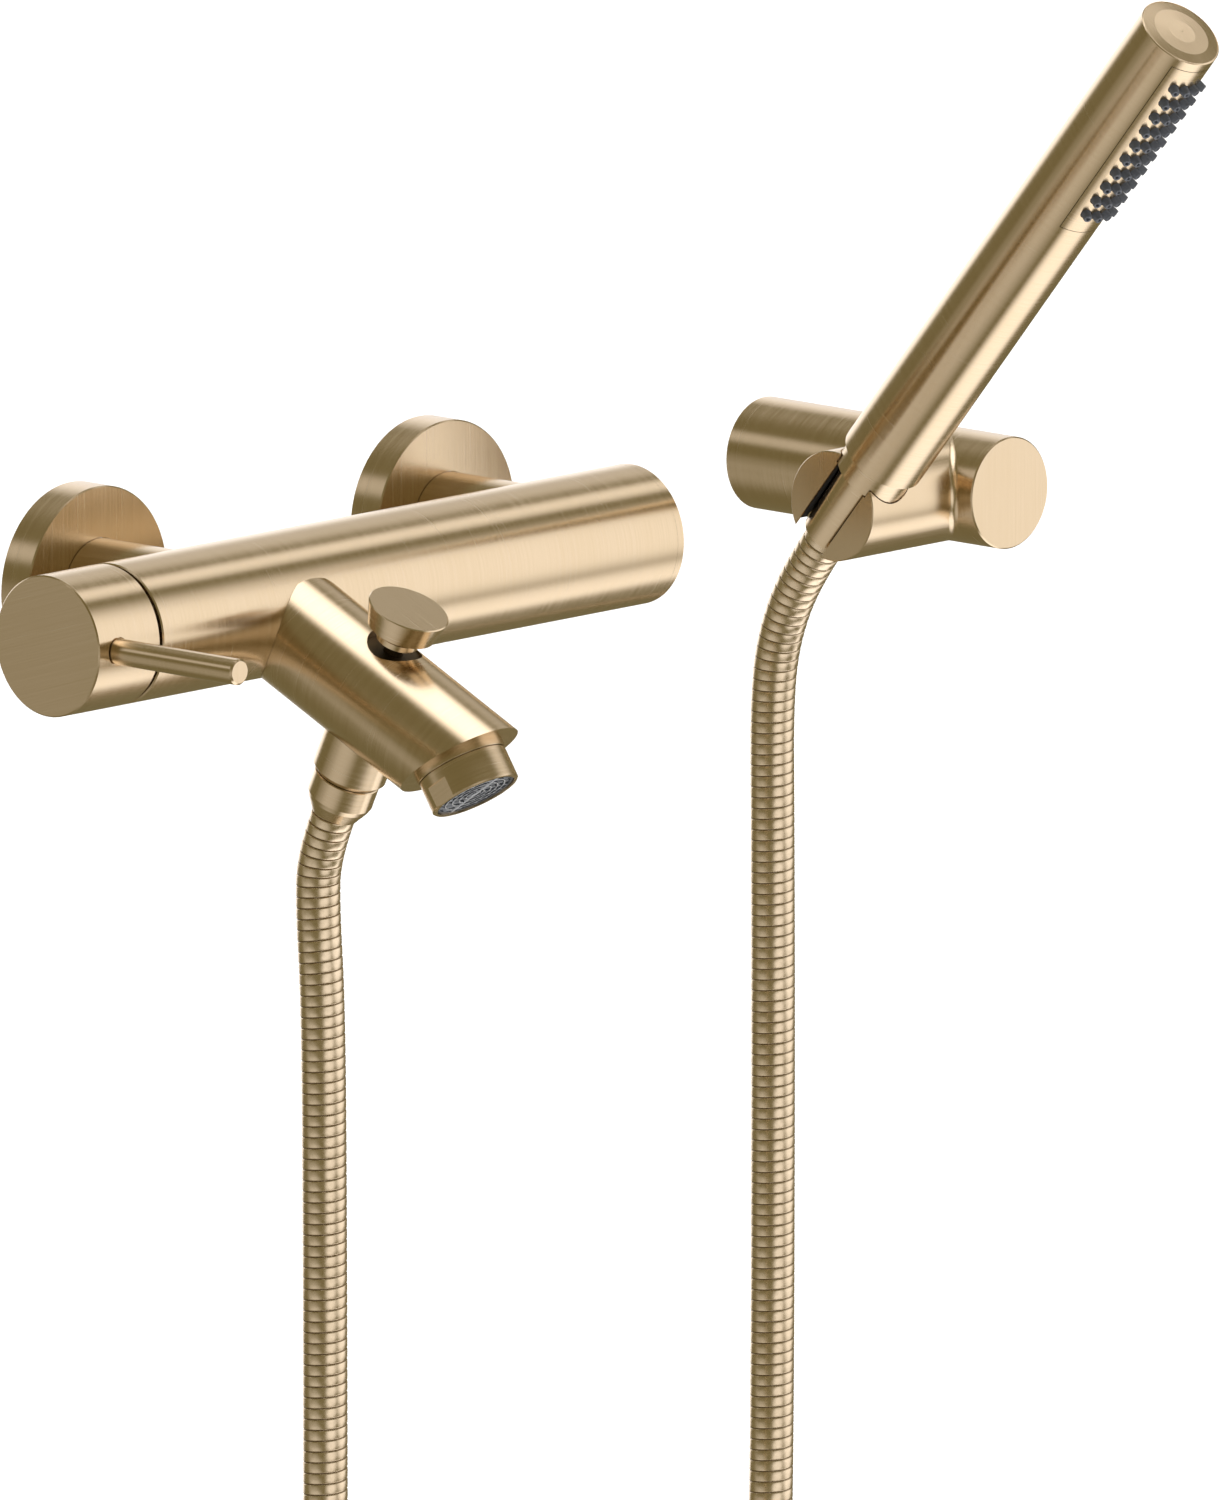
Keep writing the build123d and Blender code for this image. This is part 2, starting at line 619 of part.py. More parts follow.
# ---- aerator --------------------------------------------------------------------------------------
ring_wall = 1.45
insert_radius = aerator_radius - ring_wall
insert_thick = 8.0
insert_recess = 0.6
ring_gap = 0.25
ring_low = aerator_seat + ring_gap
ring_bevel = 0.5
thread_wall = 2.0
thread_in = 6.0
flat_depth = 4.0
jet_end = aerator_height
insert_low = jet_end - insert_recess - insert_thick
flat_start = 5.5
with BuildPart() as aerator_ring:
    turn(along_jet(0), [(aerator_thread - thread_wall, -thread_in), (aerator_thread, -thread_in),
                        (aerator_thread, ring_low),
                        (aerator_radius, ring_low), (aerator_radius, jet_end - ring_bevel),
                        (aerator_radius - ring_bevel, jet_end), (insert_radius + seating, jet_end),
                        (insert_radius + seating, insert_low - seating),
                        (aerator_thread - thread_wall, insert_low - seating)])
    for side in (-1, 1):
        flat_plane = along_jet(flat_start)
        with BuildSketch(flat_plane) as flat:
            with Locations((side * (aerator_flat + flat_depth / 2), 0)):
                Rectangle(flat_depth, 2 * aerator_radius)
        extrude(flat.sketch, amount=aerator_height, mode=Mode.SUBTRACT)
aerator_ring.part.label = "aerator_ring"
export_step(aerator_ring.part, "parts/aerator_ring.step")

slot_width = 1.0
slot_radii = (2.4, 4.4, 6.4, 8.4, 10.2)
bar_width = 1.4
second_bar_width = 1.0
washer_clear = 0.3
jet_washer_bore = 8.2
jet_washer_low = -8.2
jet_washer_high = -6.1
with BuildPart() as aerator_insert:
    turn(along_jet(0), rod_outline(insert_radius, insert_low, insert_low + insert_thick))
    with BuildSketch(along_jet(insert_low - past)) as grid:
        for middle in slot_radii:
            Circle(middle + slot_width / 2)
            Circle(middle - slot_width / 2, mode=Mode.SUBTRACT)
        Rectangle(bar_width, 2 * insert_radius, mode=Mode.SUBTRACT)
        Rectangle(2 * insert_radius, second_bar_width, mode=Mode.SUBTRACT)
    extrude(grid.sketch, amount=insert_thick + 2 * past, mode=Mode.SUBTRACT)
aerator_insert.part.label = "aerator_insert"
export_step(aerator_insert.part, "parts/aerator_insert.step")

with BuildPart() as aerator_washer:
    turn(along_jet(0), ring_outline(aerator_thread - washer_clear, jet_washer_bore, jet_washer_low,
                                  jet_washer_high))
aerator_washer.part.label = "aerator_washer"
export_step(aerator_washer.part, "parts/aerator_washer.step")

# ---- diverter -------------------------------------------------------------------------------------
stem_seal_in = 3.5
stem_seal = bush_bottom + stem_seal_in
stem_groove = 2.0
knob_thread = 1.95
knob_roof = 4.5
knob_thread_top = knob_top - knob_roof
knob_neck_height = 1.7
neck_flare = 1.2
neck_flare_height = 2.8
dish_in = 2.0
dish_drop = 7.5
knob_bevel = 0.3
thread_gap = 0.5
with BuildPart() as diverter_bush:
    turn(along_knob(0), ring_outline(chamber_radius - seating, diverter_stem + running, bush_bottom,
                                     bush_top))
    turn(along_knob(0), ring_outline(diverter_stem + stem_groove, diverter_stem, stem_seal - groove_half,
                                     stem_seal + groove_half), Mode.SUBTRACT)
diverter_bush.part.label = "diverter_bush"
export_step(diverter_bush.part, "parts/diverter_bush.step")

with BuildPart() as stem_o_ring:
    o_ring(along_knob(stem_seal), diverter_stem + large_cord + seal_squeeze, large_cord)
stem_o_ring.part.label = "stem_o_ring"
export_step(stem_o_ring.part, "parts/stem_o_ring.step")

with BuildPart() as diverter_knob:
    turn(along_knob(0), [(knob_thread + seating, knob_underside), (knob_neck, knob_underside),
                         (knob_neck, knob_underside + knob_neck_height),
                         (knob_neck + neck_flare, knob_underside + neck_flare_height),
                         (knob_radius - dish_in, knob_top - dish_drop),
                         (knob_radius, knob_top - knob_bevel),
                         (knob_radius - knob_bevel, knob_top), (0, knob_top),
                         (0, knob_thread_top + thread_gap),
                         (knob_thread + seating, knob_thread_top + thread_gap)])
diverter_knob.part.label = "diverter_knob"
export_step(diverter_knob.part, "parts/diverter_knob.step")

with BuildPart() as diverter_spindle:
    turn(along_knob(0), [(0, valve_bottom), (diverter_stem, valve_bottom),
                         (diverter_stem, knob_underside - seating), (knob_thread, knob_underside - seating),
                         (knob_thread, knob_thread_top), (0, knob_thread_top)])
diverter_spindle.part.label = "diverter_spindle"
export_step(diverter_spindle.part, "parts/diverter_spindle.step")

valve_top = valve_bottom + valve_height
valve_clear = 0.9
valve_ring_in = 0.5
valve_seal_in = 1.8
valve_radius = chamber_radius - valve_clear
valve_seals = (valve_bottom + valve_seal_in, valve_top - valve_seal_in)
with BuildPart() as diverter_valve:
    turn(along_knob(0), ring_outline(valve_radius, diverter_stem + seating, valve_bottom, valve_top))
    for seat in valve_seals:
        turn(along_knob(0), ring_outline(valve_radius + past, valve_radius - groove_depth,
                                         seat - groove_half, seat + groove_half), Mode.SUBTRACT)
diverter_valve.part.label = "diverter_valve"
export_step(diverter_valve.part, "parts/diverter_valve.step")

with BuildPart() as valve_o_rings:
    for seat in valve_seals:
        o_ring(along_knob(seat), valve_radius - valve_ring_in, large_cord)
valve_o_rings.part.label = "valve_o_rings"
export_step(valve_o_rings.part, "parts/valve_o_rings.step")

# ---- hose outlet under the spout ------------------------------------------------------------------
valve_gap = 0.2
spigot_top = valve_bottom - valve_gap
collar_bevel = 1.6
collar_bevel_height = 1.8
collar_step = 3.0
pocket_in = 4.5
check_bore = 3.4
check_gap = 0.3
flap_low = 6.0
flap_high = 4.0
flange = 1.3
outlet_bore = 4.5
valve_pocket = 5.2
pocket_top = -spout_radius - pocket_in
with BuildPart() as hose_outlet:
    turn(along_knob(0), [(0, -outlet_thread_end), (outlet_thread, -outlet_thread_end),
                         (outlet_thread, -collar_end), (collar_radius - collar_bevel, -collar_end),
                         (collar_radius, collar_bevel_height - collar_end),
                         (collar_radius, spigot_top - past),
                         (0, spigot_top - past)])
    turn(along_spout(0), rod_outline(spout_radius + seating, 0, spout_length), Mode.SUBTRACT)
    turn(along_knob(0), rod_outline(chamber_radius - seating, -spout_radius - collar_step, spigot_top))
    turn(along_knob(0), rod_outline(outlet_bore, -outlet_thread_end - past, spigot_top + past),
         Mode.SUBTRACT)
    turn(along_knob(0), rod_outline(valve_pocket, -outlet_thread_end - past, pocket_top), Mode.SUBTRACT)
hose_outlet.part.label = "hose_outlet"
export_step(hose_outlet.part, "parts/hose_outlet.step")

with BuildPart() as outlet_check_valve:
    turn(along_knob(0), ring_outline(valve_pocket - seating, check_bore, check_gap - outlet_thread_end,
                                     pocket_top - check_gap))
    turn(along_knob(0), rod_outline(check_bore - seating, pocket_top - flap_low, pocket_top - flap_high))
outlet_check_valve.part.label = "outlet_check_valve"
export_step(outlet_check_valve.part, "parts/outlet_check_valve.step")

washer_top = -outlet_thread_end - seating
washer_bottom = washer_top - washer_thick
flange_bottom = washer_bottom - seating - flange
with BuildPart() as outlet_hose_washer:
    turn(along_knob(0), ring_outline(washer_outer, washer_inner, washer_bottom, washer_top))
outlet_hose_washer.part.label = "outlet_hose_washer"
export_step(outlet_hose_washer.part, "parts/outlet_hose_washer.step")

with BuildPart() as outlet_ferrule:
    turn(along_knob(0), [(ferrule_bore, -outlet_exit), (ferrule_radius, -outlet_exit),
                         (ferrule_radius, flange_bottom), (washer_outer, flange_bottom),
                         (washer_outer, washer_bottom - seating), (ferrule_bore, washer_bottom - seating)])
outlet_ferrule.part.label = "outlet_ferrule"
export_step(outlet_ferrule.part, "parts/outlet_ferrule.step")

nut_ledge = flange_bottom - seating
nut_gap = 0.2
nut_bevel = 0.3
nut_round = 0.6
nut_round_height = 2.2
hose_cover = 0.5
with BuildPart() as outlet_hose_nut:
    turn(along_knob(0), [(outlet_thread + seating, -collar_end - nut_gap),
                         (hose_nut_radius - nut_bevel, -collar_end - nut_gap),
                         (hose_nut_radius, -collar_end - nut_gap - nut_bevel),
                         (hose_nut_radius, -outlet_thread_end - nut_round),
                         (hose_nut_radius - nut_round, -outlet_thread_end - nut_round_height),
                         (hose_radius + hose_cover, -outlet_exit), (ferrule_radius + running, -outlet_exit),
                         (ferrule_radius + running, nut_ledge), (outlet_thread + seating, nut_ledge)])
outlet_hose_nut.part.label = "outlet_hose_nut"
export_step(outlet_hose_nut.part, "parts/outlet_hose_nut.step")

# ---- hose: hangs in one long loop between the outlet and the hand shower --------------------------
outlet_run = 15.0
bend_share = 0.45             # of the shorter run, taken up by each bend
grip_run = 17.5
outlet_leg = [                 # from the outlet point
    (0.0, 9.6, -28.5),
    (0.0, 9.9, -58.5),
    (0.0, 9.4, -118.5),
    (0.2, 9.6, -238.5),
    (2.1, 9.9, -338.5),
]
loop_bottom = [                # share of the way from spout to hand shower, from the wall, height
    (0.059, -83.6, -474.0),
    (0.224, -75.7, -537.5),
    (0.501, -62.4, -563.0),
    (0.775, -49.4, -538.0),
    (0.942, -41.8, -474.5),
]
grip_leg = [                   # from the grip point
    (-1.7, 26.1, -385.1),
    (-0.1, 25.7, -285.1),
    (0.1, 25.3, -158.1),
    (0.0, 25.5, -92.1),
    (0.0, 25.1, -53.1),
    (0.0, 21.3, -32.9),
]
loop_span = cradle_x - spout_x
route = [outlet_point, outlet_point - knob_dir * outlet_run]
route += [outlet_point + Vector(*offset) for offset in outlet_leg]
route += [Vector(spout_x + share * loop_span, y, z) for share, y, z in loop_bottom]
route += [grip_point + Vector(*offset) for offset in grip_leg]
route += [grip_point - grip_dir * grip_run, grip_point]


def corner_radii(points):
    """Radius at each inner corner: a share of the shorter run over the tangent of half the turn."""
    radii = []
    for before, here, after in zip(points, points[1:], points[2:]):
        into = here - before
        away = after - here
        half_turn = math.radians(into.get_angle(away)) / 2
        radii.append(bend_share * min(into.length, away.length) / math.tan(half_turn))
    return radii


hose_radii = corner_radii(route)
print("hose radii:", [round(r, 1) for r in hose_radii])
with BuildPart() as shower_hose:
    with BuildLine() as hose_path:
        FilletPolyline(*route, radius=hose_radii)
    with BuildSketch(Plane(origin=outlet_point, x_dir=(1, 0, 0), z_dir=-knob_dir)) as hose_section:
        Circle(hose_radius)
    sweep(hose_section.sketch, path=hose_path.line)
hose_length = sum(edge.length for edge in hose_path.line.edges())
print("hose length:", round(hose_length, 1), "volume ratio:",
      round(shower_hose.part.volume / (math.pi * hose_radius ** 2 * hose_length), 4))
shower_hose.part.label = "shower_hose"
export_step(shower_hose.part, "parts/shower_hose.step")

# ---- wall holder ----------------------------------------------------------------------------------
holder_plane = out_of_wall(holder_x, holder_z, 0)
arm_plane = Plane(origin=(holder_x, -arm_out, holder_z), x_dir=(0, 0, 1), z_dir=(-1, 0, 0))
arm_length = holder_x - arm_end_x
nut_taper = (grip_nut_radius - grip_nut_low_radius) / (grip_nut_top - grip_nut_bottom)
liner_clear = 0.35
liner_foot = 1.5
liner_head = 0.3
arm_bevel = 0.3
liner_low = grip_nut_bottom + liner_foot
gap_reach = 40.0
holder_screw_out = 9.0
holder_grub = 2.5
holder_key = 1.25
liner_high = grip_nut_top - liner_head
holder_screw_sunk = 0.4
holder_key_depth = 1.6
liner_back = 40.0


def nut_radius_at(distance):
    """Radius of the tapered hand shower nut at a distance along its axis."""
    return grip_nut_low_radius + nut_taper * (distance - grip_nut_bottom)


def cradle_gap():
    """Sketch of the slot that lets the hose in and out of the cradle."""
    with BuildSketch(along_grip(-gap_reach)) as gap:
        with Locations((-gap_reach / 2, 0)):
            Rectangle(gap_reach, cradle_slot)
    return gap.sketch


liner_outer = grip_nut_radius + liner_clear + liner_wall
with BuildPart() as holder_body:
    turn(holder_plane, [(0, 0), (holder_radius, 0), (holder_radius, holder_length - edge_break),
                        (holder_radius - edge_break, holder_length), (0, holder_length)])
    turn(arm_plane, rod_outline(arm_radius, 0, arm_length, arm_bevel))
    junction = [e for e in holder_body.edges().filter_by(GeomType.BSPLINE)]
    fillet(junction, radius=arm_fillet)
    turn(holder_plane, rod_outline(holder_bore, -past, holder_bore_depth), Mode.SUBTRACT)
    turn(along_grip(0), rod_outline(liner_outer + seating, -gap_reach, liner_high + seating), Mode.SUBTRACT)
    turn(along_grip(0), rod_outline(neck_radius + liner_clear, liner_high, tube_bottom), Mode.SUBTRACT)
    extrude(cradle_gap(), amount=2 * gap_reach, mode=Mode.SUBTRACT)
    with BuildSketch(Plane.XY.offset(holder_z - holder_radius - past)) as set_hole:
        with Locations((holder_x, -holder_screw_out)):
            Circle(holder_grub + seating)
    extrude(set_hole.sketch, amount=holder_radius - holder_bore + 3 * past, mode=Mode.SUBTRACT)
holder_body.part.label = "holder_body"
export_step(holder_body.part, "parts/holder_body.step")

with BuildPart() as cradle_liner:
    turn(along_grip(0), [(nut_radius_at(liner_low) + liner_clear, liner_low), (liner_outer, liner_low),
                         (liner_outer, liner_high), (nut_radius_at(liner_high) + liner_clear, liner_high)])
    extrude(cradle_gap(), amount=2 * gap_reach, mode=Mode.SUBTRACT)
    turn(arm_plane, rod_outline(arm_radius - liner_head, -liner_back, arm_length - liner_head),
         Mode.INTERSECT)
cradle_liner.part.label = "cradle_liner"
export_step(cradle_liner.part, "parts/cradle_liner.step")

wall_plate_thick = 4.0
wall_plate_boss = 14.0
wall_plate_rim = 2.2
screw_places = [(-screw_spacing / 2, 0), (screw_spacing / 2, 0)]
with BuildPart() as holder_wall_plate:
    turn(holder_plane, [(0, 0), (holder_bore - seating, 0), (holder_bore - seating, wall_plate_boss),
                        (0, wall_plate_boss)])
    with BuildSketch(out_of_wall(holder_x, holder_z, wall_plate_thick)) as pocket:
        Circle(holder_bore - wall_plate_rim)
    extrude(pocket.sketch, amount=wall_plate_boss, mode=Mode.SUBTRACT)
    with BuildSketch(out_of_wall(holder_x, holder_z, -past)) as screw_holes:
        with Locations(*screw_places):
            Circle(wall_screw_hole)
    extrude(screw_holes.sketch, amount=wall_plate_thick + 2 * past, mode=Mode.SUBTRACT)
holder_wall_plate.part.label = "holder_wall_plate"
export_step(holder_wall_plate.part, "parts/holder_wall_plate.step")

with BuildPart() as holder_grub_screw:
    with BuildSketch(Plane.XY.offset(holder_z - holder_radius + holder_screw_sunk)) as screw_face:
        with Locations((holder_x, -holder_screw_out)):
            Circle(holder_grub)
    extrude(screw_face.sketch, amount=holder_radius - holder_screw_sunk - holder_bore)
    with BuildSketch(Plane.XY.offset(holder_z - holder_radius)) as hex_key:
        with Locations((holder_x, -holder_screw_out)):
            RegularPolygon(holder_key, 6, major_radius=False)
    extrude(hex_key.sketch, amount=holder_key_depth, mode=Mode.SUBTRACT)
holder_grub_screw.part.label = "holder_grub_screw"
export_step(holder_grub_screw.part, "parts/holder_grub_screw.step")

# ---- hose end that hangs in the holder ------------------------------------------------------------
stub_length = 7.6
grip_flange = 1.4
stub_bottom = neck_bottom - stub_length
grip_washer_top = stub_bottom - seating
grip_washer_bottom = grip_washer_top - washer_thick
grip_flange_bottom = grip_washer_bottom - seating - grip_flange
grip_ledge = grip_flange_bottom - seating
with BuildPart() as grip_hose_nut:
    turn(along_grip(0), [(ferrule_radius + running, grip_nut_bottom), (grip_nut_low_radius, grip_nut_bottom),
                         (grip_nut_radius, grip_nut_top), (outlet_thread + seating, grip_nut_top),
                         (outlet_thread + seating, grip_ledge), (ferrule_radius + running, grip_ledge)])
grip_hose_nut.part.label = "grip_hose_nut"
export_step(grip_hose_nut.part, "parts/grip_hose_nut.step")

with BuildPart() as grip_ferrule:
    turn(along_grip(0), [(ferrule_bore, grip_nut_bottom), (ferrule_radius, grip_nut_bottom),
                         (ferrule_radius, grip_flange_bottom), (washer_outer, grip_flange_bottom),
                         (washer_outer, grip_washer_bottom - seating),
                         (ferrule_bore, grip_washer_bottom - seating)])
grip_ferrule.part.label = "grip_ferrule"
export_step(grip_ferrule.part, "parts/grip_ferrule.step")

with BuildPart() as grip_hose_washer:
    turn(along_grip(0), ring_outline(washer_outer, washer_inner, grip_washer_bottom, grip_washer_top))
grip_hose_washer.part.label = "grip_hose_washer"
export_step(grip_hose_washer.part, "parts/grip_hose_washer.step")

# ---- hand shower ----------------------------------------------------------------------------------
neck_spigot_length = 12.1
neck_groove_in = 6.1
neck_cord = 0.8
limiter_bore = 1.2
limiter_in = 1.0
limiter_length = 4.0
neck_spigot_top = tube_bottom + neck_spigot_length
neck_groove = tube_bottom + neck_groove_in
grip_bore = 4.2
neck_spigot = tube_bore - 2 * running
with BuildPart() as shower_neck:
    turn(along_grip(0), [(grip_bore, stub_bottom), (outlet_thread, stub_bottom),
                         (outlet_thread, neck_bottom),
                         (neck_radius, neck_bottom), (neck_radius, tube_bottom - running),
                         (neck_spigot, tube_bottom - running),
                         (neck_spigot, neck_spigot_top), (grip_bore, neck_spigot_top)])
    turn(along_grip(0), ring_outline(tube_radius, neck_spigot - groove_depth,
                                     neck_groove - groove_half, neck_groove + groove_half), Mode.SUBTRACT)
shower_neck.part.label = "shower_neck"
export_step(shower_neck.part, "parts/shower_neck.step")

with BuildPart() as neck_o_ring:
    o_ring(along_grip(neck_groove), tube_bore - neck_cord - 2 * rim_squeeze, neck_cord)
neck_o_ring.part.label = "neck_o_ring"
export_step(neck_o_ring.part, "parts/neck_o_ring.step")

with BuildPart() as flow_limiter:
    turn(along_grip(0), ring_outline(grip_bore - seating, limiter_bore, stub_bottom + limiter_in,
                                  stub_bottom + limiter_in + limiter_length))
flow_limiter.part.label = "flow_limiter"
export_step(flow_limiter.part, "parts/flow_limiter.step")

plate_top = plate_bottom + plate_length
plate_gap = 0.2
cap_lip = 1.0
cap_rim = 0.5


def arc_sector(plane, outer, inner, half_angle):
    """Sketch of a curved plate's end, on the spray side of the hand shower."""
    a = math.radians(half_angle)
    across_part = math.sin(a)
    facing_part = -math.cos(a)
    with BuildSketch(plane) as sector:
        with BuildLine():
            low = Line((-inner * across_part, inner * facing_part),
                       (-outer * across_part, outer * facing_part))
            ThreePointArc(low @ 1, (0, -outer), (outer * across_part, outer * facing_part))
            high = Line((outer * across_part, outer * facing_part),
                        (inner * across_part, inner * facing_part))
            ThreePointArc(high @ 1, (0, -inner), low @ 0)
        make_face()
    return sector.sketch


with BuildPart() as shower_tube:
    turn(along_grip(0), [(tube_bore, tube_bottom), (tube_radius, tube_bottom),
                         (tube_radius, tube_top - cap_rim / 2), (tube_radius - cap_rim / 2, tube_top),
                         (tube_radius - cap_rim, tube_top), (tube_radius - cap_rim, tube_top - cap_lip),
                         (tube_bore, tube_top - cap_lip)])
    window = arc_sector(along_grip(plate_bottom), tube_radius + past, tube_bore - past, plate_half_angle)
    extrude(window, amount=plate_length, mode=Mode.SUBTRACT)
shower_tube.part.label = "shower_tube"
export_step(shower_tube.part, "parts/shower_tube.step")

dome_rise = 0.7
cap_in = 1.0
cap_sunk = 0.1
dome_middle = (0.7, 0.5)       # share of the radius, share of the rise
dome_inner = (0.35, 0.88)
with BuildPart() as shower_end_cap:
    turn(along_grip(0), [(0, plate_top + cap_in), (tube_bore - seating, plate_top + cap_in),
                         (tube_bore - seating, tube_top - cap_lip + seating),
                         (tube_radius - cap_rim - seating, tube_top - cap_lip + seating),
                         (tube_radius - cap_rim - seating, tube_top - cap_sunk),
                         (tube_radius * dome_middle[0], tube_top + dome_rise * dome_middle[1]),
                         (tube_radius * dome_inner[0], tube_top + dome_rise * dome_inner[1]),
                         (0, tube_top + dome_rise)])
shower_end_cap.part.label = "shower_end_cap"
export_step(shower_end_cap.part, "parts/shower_end_cap.step")

first_row = plate_bottom + (plate_length - (nozzle_rows - 1) * nozzle_pitch) / 2
nozzle_places = [(first_row + row * nozzle_pitch, angle) for row in range(nozzle_rows)
                 for angle in nozzle_angles]


def nozzle_plane(distance, angle):
    """Plane at the hand shower's axis whose normal points out through one nozzle."""
    a = math.radians(angle)
    level = along_grip(distance)
    outward = level.x_dir * math.sin(a) - level.y_dir * math.cos(a)
    return Plane(origin=level.origin, x_dir=grip_dir, z_dir=outward)


with BuildPart() as spray_plate:
    plate_face = arc_sector(along_grip(plate_bottom + plate_gap), tube_radius, tube_bore,
                            plate_half_angle - math.degrees(plate_gap / tube_radius))
    extrude(plate_face, amount=plate_length - 2 * plate_gap)
    for distance, angle in nozzle_places:
        turn(nozzle_plane(distance, angle), rod_outline(nozzle_base + running, tube_bore - past,
                                                        tube_radius + past), Mode.SUBTRACT)
spray_plate.part.label = "spray_plate"
export_step(spray_plate.part, "parts/spray_plate.step")

mat_thick = 1.4
jet_hole = 0.5
mat_in = 1.0
mat_side = 6.0
nozzle_foot = 0.4
hole_past = 0.5
with BuildPart() as spray_nozzles:
    mat_face = arc_sector(along_grip(plate_bottom + mat_in), tube_bore - seating, tube_bore - mat_thick,
                          plate_half_angle - mat_side)
    extrude(mat_face, amount=plate_length - 2 * mat_in)
    for distance, angle in nozzle_places:
        turn(nozzle_plane(distance, angle), [(0, tube_bore - mat_thick / 2),
                                             (nozzle_base, tube_bore - mat_thick / 2),
                                             (nozzle_base, tube_radius + nozzle_foot),
                                             (nozzle_tip, tube_radius + nozzle_stand),
                                             (0, tube_radius + nozzle_stand)])
    for distance, angle in nozzle_places:
        turn(nozzle_plane(distance, angle), rod_outline(jet_hole, tube_bore - mat_thick - hole_past,
                                                        tube_radius + nozzle_stand + past), Mode.SUBTRACT)
spray_nozzles.part.label = "spray_nozzles"
export_step(spray_nozzles.part, "parts/spray_nozzles.step")

chamber_gap = 0.2
chamber_foot = 6.0
chamber_floor = 2.0
mouth_in = 4.0
feed_in = 1.5
chamber_outer = tube_bore - mat_thick - chamber_gap
chamber_wall = 1.3
chamber_low = plate_bottom - chamber_foot
feed_radius = 5.0
feed_bore = 4.0
with BuildPart() as spray_chamber:
    turn(along_grip(0), rod_outline(chamber_outer, chamber_low, plate_top))
    turn(along_grip(0), rod_outline(chamber_outer - chamber_wall, chamber_low + chamber_floor,
                                    plate_top - chamber_floor),
         Mode.SUBTRACT)
    turn(along_grip(0), rod_outline(feed_radius + seating, chamber_low - past,
                                    chamber_low + chamber_floor + past), Mode.SUBTRACT)
    with BuildSketch(along_grip(plate_bottom + mouth_in)) as mouth:
        with Locations((0, -chamber_outer)):
            Rectangle(chamber_outer, chamber_outer)
    extrude(mouth.sketch, amount=plate_length - 2 * mouth_in, mode=Mode.SUBTRACT)
spray_chamber.part.label = "spray_chamber"
export_step(spray_chamber.part, "parts/spray_chamber.step")

with BuildPart() as grip_waterway:
    turn(along_grip(0), ring_outline(feed_radius, feed_bore, neck_spigot_top + seating,
                                     chamber_low + feed_in))
grip_waterway.part.label = "grip_waterway"
export_step(grip_waterway.part, "parts/grip_waterway.step")

tilt_slide = stem_arm * math.sin(tilt) / tilt
print("disc slide per radian of tilt (mm):", round(tilt_slide, 3))
print("nodes:", len(os.listdir("parts")))
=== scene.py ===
# %% [markdown]
# # A wall mounted bath mixer with a hand shower
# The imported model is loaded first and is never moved. Everything below gives it
# light, a floor, a camera and finishes, and puts finer pieces where a simple
# solid would look plain. All sizes are in metres.

# %% Load the frame
import math

import bmesh
import bpy
import numpy as np
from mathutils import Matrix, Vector


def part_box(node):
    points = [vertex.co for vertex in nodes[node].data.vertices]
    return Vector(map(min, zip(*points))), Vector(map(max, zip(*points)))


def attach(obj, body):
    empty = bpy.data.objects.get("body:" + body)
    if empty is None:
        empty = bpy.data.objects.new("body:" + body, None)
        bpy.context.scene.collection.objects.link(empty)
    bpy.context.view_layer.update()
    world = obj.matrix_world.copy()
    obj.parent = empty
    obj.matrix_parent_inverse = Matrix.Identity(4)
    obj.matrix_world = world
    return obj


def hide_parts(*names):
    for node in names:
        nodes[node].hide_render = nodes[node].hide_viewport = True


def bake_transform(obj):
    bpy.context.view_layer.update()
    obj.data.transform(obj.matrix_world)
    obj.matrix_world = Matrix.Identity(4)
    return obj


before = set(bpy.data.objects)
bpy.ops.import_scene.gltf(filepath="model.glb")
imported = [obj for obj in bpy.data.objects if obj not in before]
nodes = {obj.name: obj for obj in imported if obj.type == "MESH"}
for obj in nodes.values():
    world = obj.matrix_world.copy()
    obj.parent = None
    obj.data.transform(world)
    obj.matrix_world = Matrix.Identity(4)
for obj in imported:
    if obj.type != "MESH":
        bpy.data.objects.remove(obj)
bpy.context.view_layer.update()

# %% [markdown]
# ## Camera
# The product is seen from its left and a little from above, almost without
# perspective, so a very long lens stands far away and looks at one point.

# %% Camera
LOOK = Vector((0.719, 0.6704, -0.1837)).normalized()
LOOK_AT = Vector((0.0655, -0.0864, -0.0588))
LENS_MM = 1200.0
SENSOR_MM = 36.0
PICTURE_HEIGHT = 0.44366
SEEN_FROM = 0.1                # the camera draws nothing nearer than this
SEEN_TO = 60.0                 # nor anything farther away

camera_data = bpy.data.cameras.new("camera")
camera_data.lens = LENS_MM
camera_data.sensor_width = SENSOR_MM
camera_data.clip_start = SEEN_FROM
camera_data.clip_end = SEEN_TO
camera = bpy.data.objects.new("camera", camera_data)
bpy.context.scene.collection.objects.link(camera)
camera_distance = PICTURE_HEIGHT * LENS_MM / SENSOR_MM
camera.location = LOOK_AT - LOOK * camera_distance
camera.rotation_mode = "QUATERNION"
camera.rotation_quaternion = LOOK.to_track_quat("-Z", "Y")
bpy.context.scene.camera = camera
bpy.context.scene.view_settings.view_transform = "Standard"
print("camera", [round(v, 3) for v in camera.location])


# %% [markdown]
# ## The hose line
# The hose is a metal strip wound round a tube. It leaves the outlet under the
# spout, hangs down, turns in one wide bend and climbs to the hand shower. Its
# line is a smooth NURBS curve that these points pull: it starts at the first
# one, ends at the last one and passes near the others.

